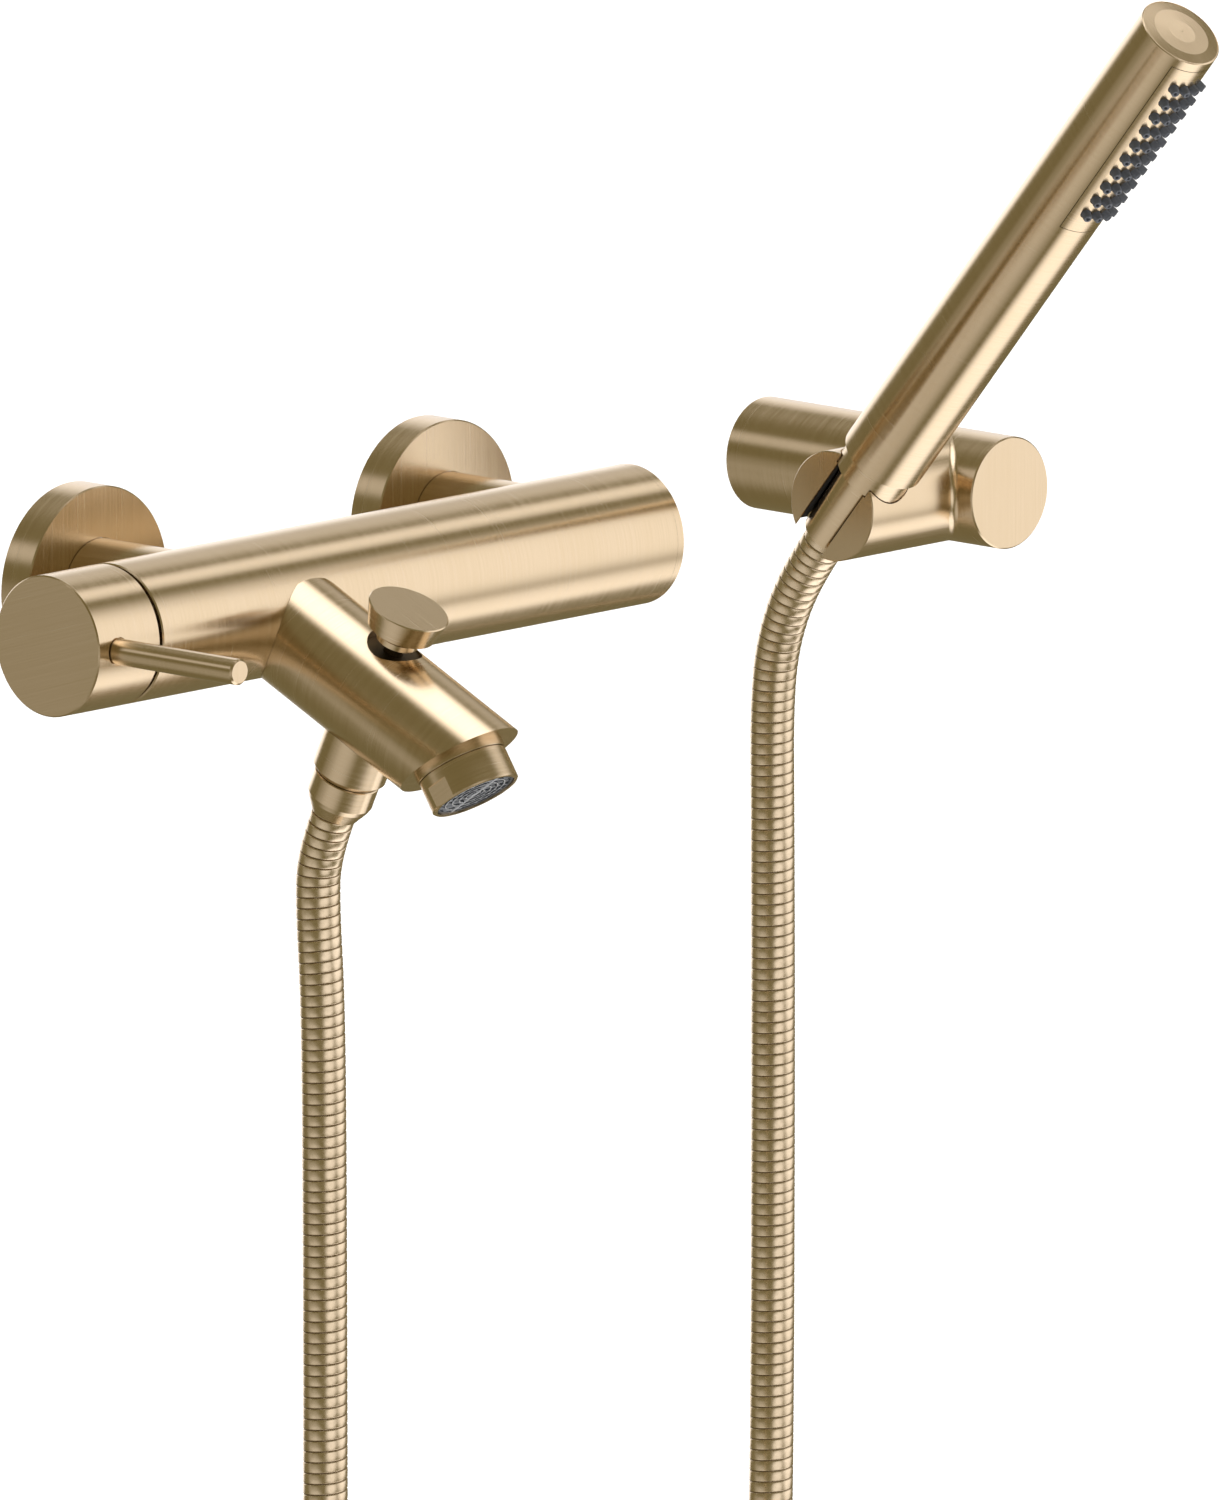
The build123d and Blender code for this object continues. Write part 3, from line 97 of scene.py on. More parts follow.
# %% Hose route
HOSE_RADIUS = 0.0066
CURVE_STEPS = 24
HOSE_ROUTE = [
    (-0.0636, -0.0959, -0.0585),
    (-0.0636, -0.0896, -0.0721),
    (-0.0636, -0.0890, -0.0875),
    (-0.0636, -0.0912, -0.1170),
    (-0.0636, -0.0918, -0.1770),
    (-0.0634, -0.0918, -0.2970),
    (-0.0615, -0.0900, -0.3970),
    (-0.0490, -0.0836, -0.4740),
    (-0.0085, -0.0757, -0.5375),
    (0.0595, -0.0624, -0.5630),
    (0.1270, -0.0494, -0.5380),
    (0.1680, -0.0418, -0.4745),
    (0.1806, -0.0425, -0.3970),
    (0.1822, -0.0436, -0.2970),
    (0.1824, -0.0438, -0.1700),
    (0.1823, -0.0436, -0.1040),
    (0.1823, -0.0432, -0.0650),
    (0.1823, -0.0462, -0.0448),
    (0.1823, -0.0554, -0.0253),
    (0.1823, -0.0667, -0.0119),
]


def hose_centre_line(route):
    """The points of the smooth curve that the route's points pull."""
    curve = bpy.data.curves.new("hose_line", "CURVE")
    curve.dimensions = "3D"
    curve.resolution_u = CURVE_STEPS
    spline = curve.splines.new("NURBS")
    spline.points.add(len(route) - 1)
    for point, place in zip(spline.points, route):
        point.co = (*place, 1.0)
    spline.order_u = 3
    spline.use_endpoint_u = True
    line = bpy.data.objects.new("hose_line", curve)
    bpy.context.scene.collection.objects.link(line)
    bpy.context.view_layer.update()
    mesh = bpy.data.meshes.new_from_object(line)
    found = [tuple(v.co) for v in mesh.vertices]
    bpy.data.objects.remove(line)
    bpy.data.meshes.remove(mesh)
    bpy.data.curves.remove(curve)
    return found


hose_points = hose_centre_line(HOSE_ROUTE)
hose_line = np.array(hose_points)
line_steps = np.linalg.norm(np.diff(hose_line, axis=0), axis=1)
print("hose line", len(hose_line), "points,", round(float(line_steps.sum()), 4), "m")

# %% [markdown]
# ## The hose skin
# The strip's turns show as flat bands with a narrow groove between them. The
# mesh is one long band that climbs the tube like the strip itself: every turn
# is drawn with the same few points across it, so the grooves stay crisp with
# little geometry. How deep a point sits is kept as an attribute, which the
# hose's finish reads to paint shade into the grooves. A straight wound tube
# could also be bent along the line by a modifier. Here the mesh is worked out
# point by point, because each point's depth is then known and both ends can be
# cut square.

# %% Wind the hose
PITCH = 0.00325
ROUND = 24
RIB_SHAPE = [  # share of the way across a turn, depth below the full radius
    (0.00, 0.00042),
    (0.04, 0.00020),
    (0.08, 0.00003),
    (0.14, 0.0),
    (0.50, 0.0),
    (0.86, 0.00002),
    (0.95, 0.00012),
]
GROOVE_DEPTH = max(depth for across, depth in RIB_SHAPE)
MERGE_WITHIN = 1e-6


def frames_along(line):
    """Two directions across the line at each point, that don't twist."""
    tangents = np.gradient(line, axis=0)
    tangents /= np.linalg.norm(tangents, axis=1)[:, None]
    side = np.cross(tangents[0], (1.0, 0.0, 0.0))
    sides = []
    for tangent in tangents:
        side = side - tangent * float(side @ tangent)
        side = side / np.linalg.norm(side)
        sides.append(side)
    sides = np.array(sides)
    return sides, np.cross(tangents, sides)


def wind_hose(line, name):
    """A ribbed tube along the line, closed at both ends."""
    steps = np.linalg.norm(np.diff(line, axis=0), axis=1)
    travelled = np.concatenate([[0.0], np.cumsum(steps)])
    total = travelled[-1]
    sides, ups = frames_along(line)
    turns = int(math.ceil(total / PITCH)) + 1
    places = []
    depths = []
    for turn in range(-1, turns):
        for across, depth in RIB_SHAPE:
            for j in range(ROUND):
                places.append((turn + across + j / ROUND) * PITCH)
                depths.append(depth)
    along = np.clip(np.array(places), 0.0, total)
    depths = np.array(depths)
    rows = len(RIB_SHAPE)
    angle = np.tile(np.arange(ROUND) * 2 * math.pi / ROUND, (turns + 1) * rows)
    at = np.stack([np.interp(along, travelled, line[:, i]) for i in range(3)], 1)
    side = np.stack([np.interp(along, travelled, sides[:, i]) for i in range(3)], 1)
    up = np.stack([np.interp(along, travelled, ups[:, i]) for i in range(3)], 1)
    radius = (HOSE_RADIUS - depths)[:, None]
    points = at + radius * (np.cos(angle)[:, None] * side + np.sin(angle)[:, None] * up)
    faces = []
    for row in range(turns * rows):
        for j in range(ROUND):
            here = row * ROUND + j
            above = here + ROUND
            beside = here + 1 if j < ROUND - 1 else (row + rows) * ROUND
            above_beside = above + 1 if j < ROUND - 1 else (row + 1 + rows) * ROUND
            if above_beside < len(points):
                faces.append((here, beside, above_beside, above))
    mesh = bpy.data.meshes.new(name)
    mesh.from_pydata(points.tolist(), [], faces)
    groove = mesh.attributes.new("groove", "FLOAT", "POINT")
    groove.data.foreach_set("value", (depths / GROOVE_DEPTH).astype(np.float32))
    shaped = bmesh.new()
    shaped.from_mesh(mesh)
    bmesh.ops.remove_doubles(shaped, verts=shaped.verts, dist=MERGE_WITHIN)
    loose = [v for v in shaped.verts if not v.link_faces]
    bmesh.ops.delete(shaped, geom=loose, context="VERTS")
    rims = [e for e in shaped.edges if e.is_boundary]
    bmesh.ops.holes_fill(shaped, edges=rims, sides=0)
    bmesh.ops.recalc_face_normals(shaped, faces=shaped.faces)
    for face in shaped.faces:
        face.smooth = True
    shaped.to_mesh(mesh)
    open_edges = sum(1 for e in shaped.edges if not e.is_manifold)
    print(name, len(mesh.polygons), "faces,", open_edges, "open edges")
    shaped.free()
    piece = bpy.data.objects.new(name, mesh)
    bpy.context.scene.collection.objects.link(piece)
    return piece


hose = wind_hose(hose_line, "wound_hose")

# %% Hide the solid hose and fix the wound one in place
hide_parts("shower_hose")
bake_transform(hose)

# %% [markdown]
# ## Floor
# A pale floor lies a little below the hose's bend. It is wide enough to fill
# the picture behind the product, so it is also the backdrop.

# %% Floor
FLOOR_Z = -0.60
FLOOR_SIZE = 40.0
FLOOR_TONE = (0.93, 0.93, 0.93)
FLOOR_ROUGHNESS = 0.9
CLOUDS_PER_M = 0.7
CLOUD_SHADE = 0.985            # the darkest tone, as a share of the full one


def plain_paint(name, colour, roughness):
    """A matt finish whose tone drifts very slightly from place to place."""
    paint = bpy.data.materials.new(name)
    paint.use_nodes = True
    tree = paint.node_tree
    shader = tree.nodes["Principled BSDF"]
    place = tree.nodes.new("ShaderNodeTexCoord")
    cloud = tree.nodes.new("ShaderNodeTexNoise")
    cloud.inputs["Scale"].default_value = CLOUDS_PER_M
    tint = tree.nodes.new("ShaderNodeMix")
    tint.data_type = "RGBA"
    tint.inputs["A"].default_value = (*[c * CLOUD_SHADE for c in colour], 1.0)
    tint.inputs["B"].default_value = (*colour, 1.0)
    tree.links.new(place.outputs["Object"], cloud.inputs["Vector"])
    tree.links.new(cloud.outputs["Fac"], tint.inputs["Factor"])
    tree.links.new(tint.outputs["Result"], shader.inputs["Base Color"])
    shader.inputs["Roughness"].default_value = roughness
    shader.inputs["Specular IOR Level"].default_value = 0.0
    return paint


bpy.ops.object.select_all(action="DESELECT")
bpy.ops.mesh.primitive_plane_add(size=FLOOR_SIZE, location=(0.0, 0.0, FLOOR_Z))
floor = bpy.context.active_object
floor.name = "floor"
floor.data.materials.append(plain_paint("floor_paint", FLOOR_TONE, FLOOR_ROUGHNESS))
floor.visible_glossy = False
print("floor", FLOOR_SIZE, "m wide at", FLOOR_Z)

# %% [markdown]
# ## Light
# Brushed metal looks like whatever stands round it. The room is drawn as soft
# round patches of light on a dim warm ground: a large one overhead, one at the
# right in front, and weaker ones low down and behind. Between the patches it
# stays dark, which gives the tubes their long light and dark bands. Where the
# floor ends, the camera sees plain white in place of the patches.

# %% Room
PATCHES = [  # azimuth, elevation, full within, gone beyond (degrees), brightness
    (120, 84, 16, 32, 2.10),
    (50, 6, 16, 40, 1.12),
    (64, -38, 5, 17, 1.35),
    (-14, -11, 12, 34, 0.95),
    (45, -70, 14, 32, 1.50),
    (152, 4, 14, 30, 1.35),
    (-105, -38, 8, 40, 0.50),
    (128, 32, 5, 20, 0.55),
    (-139, 27, 2, 12, 0.70),
    (-133, -9, 4, 14, 0.16),
    (88, 45, 3, 11, 1.30),
]
ROOM_TONE = (0.215, 0.188, 0.102)
PATCH_TONE = (0.975, 0.980, 1.080)
BACKDROP_TONE = (1.0, 1.0, 1.0)


def towards(azimuth, elevation):
    """A direction: azimuth 0 points out of the wall, 90 to the right."""
    a, e = math.radians(azimuth), math.radians(elevation)
    return Vector((math.sin(a) * math.cos(e), -math.cos(a) * math.cos(e), math.sin(e)))


def light_room(patches):
    """A world with a soft round patch of light in each given direction."""
    world = bpy.data.worlds.new("studio")
    bpy.context.scene.world = world
    world.use_nodes = True
    tree = world.node_tree
    ground = tree.nodes["Background"]
    place = tree.nodes.new("ShaderNodeTexCoord")
    so_far = None
    for azimuth, elevation, full, gone, brightness in patches:
        facing = tree.nodes.new("ShaderNodeVectorMath")
        facing.operation = "DOT_PRODUCT"
        facing.inputs[1].default_value = towards(azimuth, elevation)
        tree.links.new(place.outputs["Generated"], facing.inputs[0])
        fade = tree.nodes.new("ShaderNodeMapRange")
        fade.interpolation_type = "SMOOTHSTEP"
        fade.inputs["From Min"].default_value = math.cos(math.radians(gone))
        fade.inputs["From Max"].default_value = math.cos(math.radians(full))
        fade.inputs["To Max"].default_value = brightness
        tree.links.new(facing.outputs["Value"], fade.inputs["Value"])
        if so_far is None:
            so_far = fade.outputs["Result"]
            continue
        both = tree.nodes.new("ShaderNodeMath")
        tree.links.new(so_far, both.inputs[0])
        tree.links.new(fade.outputs["Result"], both.inputs[1])
        so_far = both.outputs["Value"]
    scaled = tree.nodes.new("ShaderNodeVectorMath")
    scaled.operation = "MULTIPLY_ADD"
    scaled.inputs[1].default_value = PATCH_TONE
    scaled.inputs[2].default_value = ROOM_TONE
    tree.links.new(so_far, scaled.inputs[0])
    ray = tree.nodes.new("ShaderNodeLightPath")
    behind = tree.nodes.new("ShaderNodeMix")
    behind.data_type = "RGBA"
    behind.inputs["B"].default_value = (*BACKDROP_TONE, 1.0)
    tree.links.new(ray.outputs["Is Camera Ray"], behind.inputs["Factor"])
    tree.links.new(scaled.outputs["Vector"], behind.inputs["A"])
    tree.links.new(behind.outputs["Result"], ground.inputs["Color"])
    return world


light_room(PATCHES)
print("room patches", len(PATCHES))

# %% Sun for the floor
SUN_STRENGTH = 2.2
SUN_WIDTH = math.radians(60)
SUN_HEIGHT = 3.0

sun_data = bpy.data.lights.new("ceiling_light", "SUN")
sun_data.energy = SUN_STRENGTH
sun_data.angle = SUN_WIDTH
sun = bpy.data.objects.new("ceiling_light", sun_data)
sun.location = (0.0, 0.0, SUN_HEIGHT)
sun.visible_glossy = False
bpy.context.scene.collection.objects.link(sun)
print("ceiling light", SUN_STRENGTH)

# %% [markdown]
# ## Brushed brass
# The tubes are turned, so fine lines run round each of them, and their ends are
# brushed straight across. Light spreads across such lines, not along them. One
# recipe makes a finish for a part from the line it was turned about: noise that
# is stretched round that line varies the tone, the gloss and the surface.

# %% Brushed brass recipe
BRASS_LIGHT = (0.760, 0.610, 0.420)
BRASS_DEEP = (0.690, 0.540, 0.350)
BRASS_STAIN = (0.64, 0.49, 0.28)
MOST_STAIN = 0.16
STAINS_PER_M = 38
SIDE_BELOW = 0.80              # a face is a side when it looks along the axis less than this
END_ABOVE = 0.95               # and an end when it does so more than this
LINES_PER_M = 2000.0
DRIFT_PER_M = 22.0
LINE_STRENGTH = 0.075
LINE_SPREAD = 0.55
SCRATCH_DEPTH = 0.0002


def new_finish(name, metallic):
    """An empty finish with its node tree, its shader and the part's own coordinates."""
    finish = bpy.data.materials.new(name)
    finish.use_nodes = True
    tree = finish.node_tree
    shader = tree.nodes["Principled BSDF"]
    shader.inputs["Metallic"].default_value = metallic
    place = tree.nodes.new("ShaderNodeTexCoord")
    return finish, tree, shader, place


def roughen(tree, shader, height, strength, distance):
    """Lets a height pattern tilt the surface."""
    bump = tree.nodes.new("ShaderNodeBump")
    bump.inputs["Strength"].default_value = strength
    bump.inputs["Distance"].default_value = distance
    tree.links.new(height, bump.inputs["Height"])
    tree.links.new(bump.outputs["Normal"], shader.inputs["Normal"])


def noise_at(tree, vector, detail, roughness):
    """A noise whose size is set by the coordinates that reach it."""
    noise = tree.nodes.new("ShaderNodeTexNoise")
    noise.inputs["Scale"].default_value = 1.0
    noise.inputs["Detail"].default_value = detail
    noise.inputs["Roughness"].default_value = roughness
    tree.links.new(vector, noise.inputs["Vector"])
    return noise.outputs["Fac"]


def mapped(tree, vector, location=(0, 0, 0), rotation=(0, 0, 0), scale=(1, 1, 1)):
    """Coordinates moved, turned and scaled."""
    mapping = tree.nodes.new("ShaderNodeMapping")
    mapping.inputs["Location"].default_value = location
    mapping.inputs["Rotation"].default_value = rotation
    mapping.inputs["Scale"].default_value = scale
    tree.links.new(vector, mapping.inputs["Vector"])
    return mapping.outputs["Vector"]


def ranged(tree, value, low, high, to_low, to_high):
    """A value moved from one range to another, and kept inside it."""
    node = tree.nodes.new("ShaderNodeMapRange")
    node.inputs["From Min"].default_value = low
    node.inputs["From Max"].default_value = high
    node.inputs["To Min"].default_value = to_low
    node.inputs["To Max"].default_value = to_high
    tree.links.new(value, node.inputs["Value"])
    return node.outputs["Result"]


def mixed(tree, factor, a, b, kind="RGBA"):
    """a where factor is 0 and b where it is 1; each is a socket or a constant."""
    node = tree.nodes.new("ShaderNodeMix")
    node.data_type = kind
    tree.links.new(factor, node.inputs["Factor"])
    sockets = {"RGBA": (6, 7), "FLOAT": (2, 3), "VECTOR": (4, 5)}[kind]
    for index, given in zip(sockets, (a, b)):
        if hasattr(given, "is_output"):
            tree.links.new(given, node.inputs[index])
        else:
            node.inputs[index].default_value = given
    return node.outputs[{"RGBA": 2, "FLOAT": 0, "VECTOR": 1}[kind]]


def brushed_brass(name, centre, axis, end_turn=0.0, gloss=(0.20, 0.28)):
    """A turned brass finish about the given line."""
    metal, tree, shader, place = new_finish(name, 1.0)
    axis = Vector(axis).normalized()
    turn = axis.rotation_difference(Vector((0, 0, 1)))
    own = mapped(tree, place.outputs["Object"], -(turn @ Vector(centre)), turn.to_euler())
    rings = mapped(tree, own, scale=(DRIFT_PER_M, DRIFT_PER_M, LINES_PER_M))
    ring_noise = noise_at(tree, rings, 3.0, 0.65)
    straight = mapped(tree, own, rotation=(0, 0, end_turn))
    straight = mapped(tree, straight, scale=(LINES_PER_M, DRIFT_PER_M, DRIFT_PER_M))
    end_noise = noise_at(tree, straight, 3.0, 0.65)
    facing = tree.nodes.new("ShaderNodeVectorMath")
    facing.operation = "DOT_PRODUCT"
    facing.inputs[1].default_value = axis
    tree.links.new(place.outputs["Normal"], facing.inputs[0])
    size = tree.nodes.new("ShaderNodeMath")
    size.operation = "ABSOLUTE"
    tree.links.new(facing.outputs["Value"], size.inputs[0])
    is_end = ranged(tree, size.outputs["Value"], SIDE_BELOW, END_ABOVE, 0.0, 1.0)
    lines = mixed(tree, is_end, ring_noise, end_noise, "FLOAT")
    cloud = noise_at(tree, mapped(tree, own, scale=(STAINS_PER_M,) * 3), 2.0, 0.5)
    tone = mixed(
        tree,
        ranged(tree, lines, 0.25, 0.75, 0.0, 1.0),
        (*BRASS_DEEP, 1.0),
        (*BRASS_LIGHT, 1.0),
    )
    stain = ranged(tree, cloud, 0.35, 0.75, 0.0, MOST_STAIN)
    tone = mixed(tree, stain, tone, (*BRASS_STAIN, 1.0))
    tree.links.new(tone, shader.inputs["Base Color"])
    rough = ranged(tree, lines, 0.25, 0.75, gloss[0], gloss[1])
    tree.links.new(rough, shader.inputs["Roughness"])
    roughen(tree, shader, lines, LINE_STRENGTH, SCRATCH_DEPTH)
    shader.inputs["Anisotropic"].default_value = LINE_SPREAD
    across = tree.nodes.new("ShaderNodeVectorTransform")
    across.vector_type = "VECTOR"
    across.convert_from = "OBJECT"
    across.convert_to = "WORLD"
    spread = mixed(tree, is_end, axis, axis.orthogonal(), "VECTOR")
    tree.links.new(spread, across.inputs["Vector"])
    tree.links.new(across.outputs["Vector"], shader.inputs["Tangent"])
    return metal


def give(node_names, material):
    """Puts one finish on all of a node's surfaces."""
    for name in node_names:
        piece = nodes[name]
        if not piece.material_slots:
            piece.data.materials.append(material)
        for slot in piece.material_slots:
            slot.material = material


SPOUT_FALL = math.radians(25)
JET_FALL = math.radians(56)
GRIP_LEAN = math.radians(40)
ALONG_WALL = (1, 0, 0)
INTO_WALL = (0, 1, 0)
SPOUT_AXIS = (0.0, -math.cos(SPOUT_FALL), -math.sin(SPOUT_FALL))
KNOB_AXIS = (0.0, -math.sin(SPOUT_FALL), math.cos(SPOUT_FALL))
JET_AXIS = (0.0, -math.cos(JET_FALL), -math.sin(JET_FALL))
GRIP_AXIS = (0.0, -math.sin(GRIP_LEAN), math.cos(GRIP_LEAN))
HOT_INLET = (-0.075, 0, 0)
COLD_INLET = (0.075, 0, 0)
HOLDER_MIDDLE = (0.2258, 0, -0.0012)
CAP_BRUSH_TURN = 0.3
BODY_MIDDLE = (0.0, -0.068, 0.0)
SPOUT_MIDDLE = (-0.0636, -0.068, 0.0)
GRIP_MIDDLE = (0.1823, -0.0757, -0.0012)


def middle(name):
    """The middle of a node's box."""
    low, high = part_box(name)
    return (Vector(low) + Vector(high)) / 2


give(["mixer_body", "body_end_plug"], brushed_brass("body_brass", BODY_MIDDLE, ALONG_WALL))
give(["handle_cap"], brushed_brass("cap_brass", BODY_MIDDLE, ALONG_WALL, CAP_BRUSH_TURN))
give(["handle_lever"], brushed_brass("lever_brass", middle("handle_lever"), INTO_WALL))
give(["rosette_hot"], brushed_brass("rosette_hot_brass", HOT_INLET, INTO_WALL))
give(["rosette_cold"], brushed_brass("rosette_cold_brass", COLD_INLET, INTO_WALL))
give(["spout"], brushed_brass("spout_brass", SPOUT_MIDDLE, SPOUT_AXIS))
give(["aerator_ring"], brushed_brass("aerator_brass", middle("aerator_ring"), JET_AXIS))
give(["diverter_knob"], brushed_brass("knob_brass", middle("diverter_knob"), KNOB_AXIS))
give(
    ["hose_outlet", "outlet_hose_nut"],
    brushed_brass("outlet_brass", HOSE_ROUTE[0], KNOB_AXIS),
)
give(["holder_body"], brushed_brass("holder_brass", HOLDER_MIDDLE, INTO_WALL))
give(
    ["grip_hose_nut", "shower_neck", "shower_tube", "shower_end_cap", "spray_plate"],
    brushed_brass("hand_shower_brass", GRIP_MIDDLE, GRIP_AXIS),
)
print("brushed finishes", len([m for m in bpy.data.materials if "brass" in m.name]))

# %% [markdown]
# ## Hose finish
# The strip is the same brass. Its grooves are darkened with painted shade, so
# the crowns look brighter beside them.

# %% Hose strip
CROWN_DEEP = (0.76, 0.61, 0.41)
CROWN_LIGHT = (0.84, 0.69, 0.50)
# painted shade: the dark brown that the grooves get in place of the brass
GROOVE_SHADE_TONE = (0.24, 0.165, 0.09)
GROOVE_ROUGHNESS = 0.55
SCRATCHES_PER_M = 900
TARNISH_PER_M = 60
STRIP_STRENGTH = 0.08


def hose_strip(name):
    """Strip brass that paints shade into its grooves, more the deeper a point lies."""
    metal, tree, shader, place = new_finish(name, 1.0)
    own = place.outputs["Object"]
    depth = tree.nodes.new("ShaderNodeAttribute")
    depth.attribute_name = "groove"
    scratch = noise_at(tree, mapped(tree, own, scale=(SCRATCHES_PER_M,) * 3), 3, 0.6)
    cloud = noise_at(tree, mapped(tree, own, scale=(TARNISH_PER_M,) * 3), 2, 0.5)
    crown = mixed(tree, cloud, (*CROWN_DEEP, 1.0), (*CROWN_LIGHT, 1.0))
    # how much painted shade a point gets, from how deep in a groove it lies
    groove_shade = ranged(tree, depth.outputs["Fac"], 0.05, 0.85, 0.0, 1.0)
    tone = mixed(tree, groove_shade, crown, (*GROOVE_SHADE_TONE, 1.0))
    tree.links.new(tone, shader.inputs["Base Color"])
    gloss = ranged(tree, scratch, 0.3, 0.7, 0.2, 0.34)
    rough = mixed(tree, groove_shade, gloss, GROOVE_ROUGHNESS, "FLOAT")
    tree.links.new(rough, shader.inputs["Roughness"])
    roughen(tree, shader, scratch, STRIP_STRENGTH, SCRATCH_DEPTH)
    return metal


hose.data.materials.append(hose_strip("hose_strip_brass"))
print("hose finish on", hose.name)

# %% [markdown]
# ## Plastics, rubber, ceramic and bare metal
# These parts are mostly inside. Moulded plastic is slightly cloudy and finely
# grained, rubber is almost black and dull, and the screws are plain steel.

# %% Moulded finishes
GRAIN_DEPTH = 0.00008
GRAIN_STRENGTH = 0.25
GRAIN_SWING = 0.07             # how far the grain moves the roughness either way
HAZE_PER_M = 45


def moulded(name, dark, light, roughness, grain_per_m, metallic=0.0):
    """A finish with a fine grain and a faint cloudiness."""
    finish, tree, shader, place = new_finish(name, metallic)
    own = place.outputs["Object"]
    grain = noise_at(tree, mapped(tree, own, scale=(grain_per_m,) * 3), 3, 0.6)
    cloud = noise_at(tree, mapped(tree, own, scale=(HAZE_PER_M,) * 3), 2, 0.5)
    tone = mixed(tree, cloud, (*dark, 1.0), (*light, 1.0))
    tree.links.new(tone, shader.inputs["Base Color"])
    smooth, dull = roughness - GRAIN_SWING, roughness + GRAIN_SWING
    rough = ranged(tree, grain, 0.3, 0.7, smooth, dull)
    tree.links.new(rough, shader.inputs["Roughness"])
    roughen(tree, shader, grain, GRAIN_STRENGTH, GRAIN_DEPTH)
    return finish


INNER = {
    "raw_brass": (
        moulded("raw_brass_metal", (0.52, 0.36, 0.16), (0.62, 0.44, 0.20), 0.38, 2500, 1.0),
        ["inlet_union_hot", "inlet_union_cold", "cartridge_nut", "diverter_bush",
         "diverter_spindle", "diverter_valve", "outlet_ferrule", "grip_ferrule",
         "cartridge_stem"],
    ),
    "steel": (
        moulded("plain_steel", (0.48, 0.48, 0.50), (0.60, 0.60, 0.61), 0.32, 2500, 1.0),
        ["stem_pin", "boss_grub_screws", "handle_grub_screw", "holder_grub_screw"],
    ),
    "ceramic": (
        moulded("disc_ceramic", (0.78, 0.77, 0.74), (0.86, 0.85, 0.82), 0.22, 3500),
        ["ceramic_fixed_disc", "ceramic_moving_disc"],
    ),
    "white_plastic": (
        moulded("white_moulding", (0.72, 0.72, 0.70), (0.80, 0.80, 0.78), 0.42, 3000),
        ["cartridge_base", "cartridge_housing", "cartridge_turret", "disc_carrier",
         "spray_chamber", "grip_waterway", "outlet_check_valve", "flow_limiter",
         "holder_wall_plate"],
    ),
    "grey_plastic": (
        moulded("grey_moulding", (0.135, 0.142, 0.155), (0.19, 0.20, 0.215), 0.40, 3000),
        ["aerator_insert"],
    ),
    "grey_silicone": (
        moulded("nozzle_silicone", (0.085, 0.094, 0.112), (0.120, 0.131, 0.155), 0.46, 3500),
        ["spray_nozzles"],
    ),
    "black_rubber": (
        moulded("black_seal", (0.012, 0.012, 0.013), (0.028, 0.028, 0.030), 0.60, 3000),
        ["plug_o_ring", "union_o_rings", "rosette_gaskets", "port_seals", "spout_o_ring",
         "aerator_washer", "stem_o_ring", "valve_o_rings", "outlet_hose_washer",
         "grip_hose_washer", "neck_o_ring", "cradle_liner"],
    ),
}
finished = 0
for finish, names in INNER.values():
    give(names, finish)
    finished += len(names)
print("inner nodes finished", finished)

# %% [markdown]
# ## The aerator's grille
# Water leaves through a round insert with ring-shaped ribs, thin slats across
# them and one broader bar. The solid insert has plain slots, so a finer one takes
# its place: a short cylinder whose end face is inset and pushed in or out again
# and again, which draws all of its rings, and thin bevelled bars laid over them.
# It is one grey plastic, drawn with painted light on the faces that look out and
# painted shade in the channels.

# %% Shared modelling steps
SMOOTH_BELOW = math.radians(35)
LOOKS_UP = 0.9


def start_clean():
    """Back to object mode with nothing selected."""
    if bpy.context.mode != "OBJECT":
        bpy.ops.object.mode_set(mode="OBJECT")
    bpy.ops.object.select_all(action="DESELECT")


def pick_top(least):
    """Selects the faces of the mesh in edit mode that look up more squarely than this."""
    mesh = bmesh.from_edit_mesh(bpy.context.edit_object.data)
    bpy.ops.mesh.select_all(action="DESELECT")
    for face in mesh.faces:
        face.select_set(face.normal.z > least)
    bmesh.update_edit_mesh(bpy.context.edit_object.data)


def settle(piece, name, centre, axis):
    """Turns a piece built about +Z to its own line, and puts its place in its mesh."""
    start_clean()
    piece.name = name
    piece.select_set(True)
    bpy.context.view_layer.objects.active = piece
    bpy.ops.object.transform_apply(location=True, rotation=True, scale=True)
    piece.rotation_mode = "QUATERNION"
    piece.rotation_quaternion = Vector((0, 0, 1)).rotation_difference(Vector(axis))
    piece.location = centre
    bpy.ops.object.transform_apply(location=True, rotation=True, scale=True)
    bpy.ops.object.shade_smooth_by_angle(angle=SMOOTH_BELOW)


# %% Ringed insert
INSERT_RADIUS = 0.0122
INSERT_HEIGHT = 0.0080
INSERT_SIDES = 72
CHANNEL_DEPTH = 0.0011
RIBS = [  # width of a ring-shaped rib, width of the channel inside it
    (0.0008, 0.0017),
    (0.0004, 0.0018),
    (0.0004, 0.0018),
    (0.0004, 0.0018),
    (0.0004, 0.0015),
]

start_clean()
bpy.ops.mesh.primitive_cylinder_add(
    vertices=INSERT_SIDES,
    radius=INSERT_RADIUS,
    depth=INSERT_HEIGHT,
    location=(0, 0, -INSERT_HEIGHT / 2),
)
grille = bpy.context.active_object
bpy.ops.object.mode_set(mode="EDIT")
pick_top(LOOKS_UP)
for rib, channel in RIBS:
    bpy.ops.mesh.inset(thickness=rib, depth=0.0)
    bpy.ops.mesh.extrude_region_move(TRANSFORM_OT_translate={"value": (0, 0, -CHANNEL_DEPTH)})
    bpy.ops.mesh.inset(thickness=channel, depth=0.0)
    bpy.ops.mesh.extrude_region_move(TRANSFORM_OT_translate={"value": (0, 0, CHANNEL_DEPTH)})
bpy.ops.object.mode_set(mode="OBJECT")
print("ringed insert", len(grille.data.polygons), "faces")

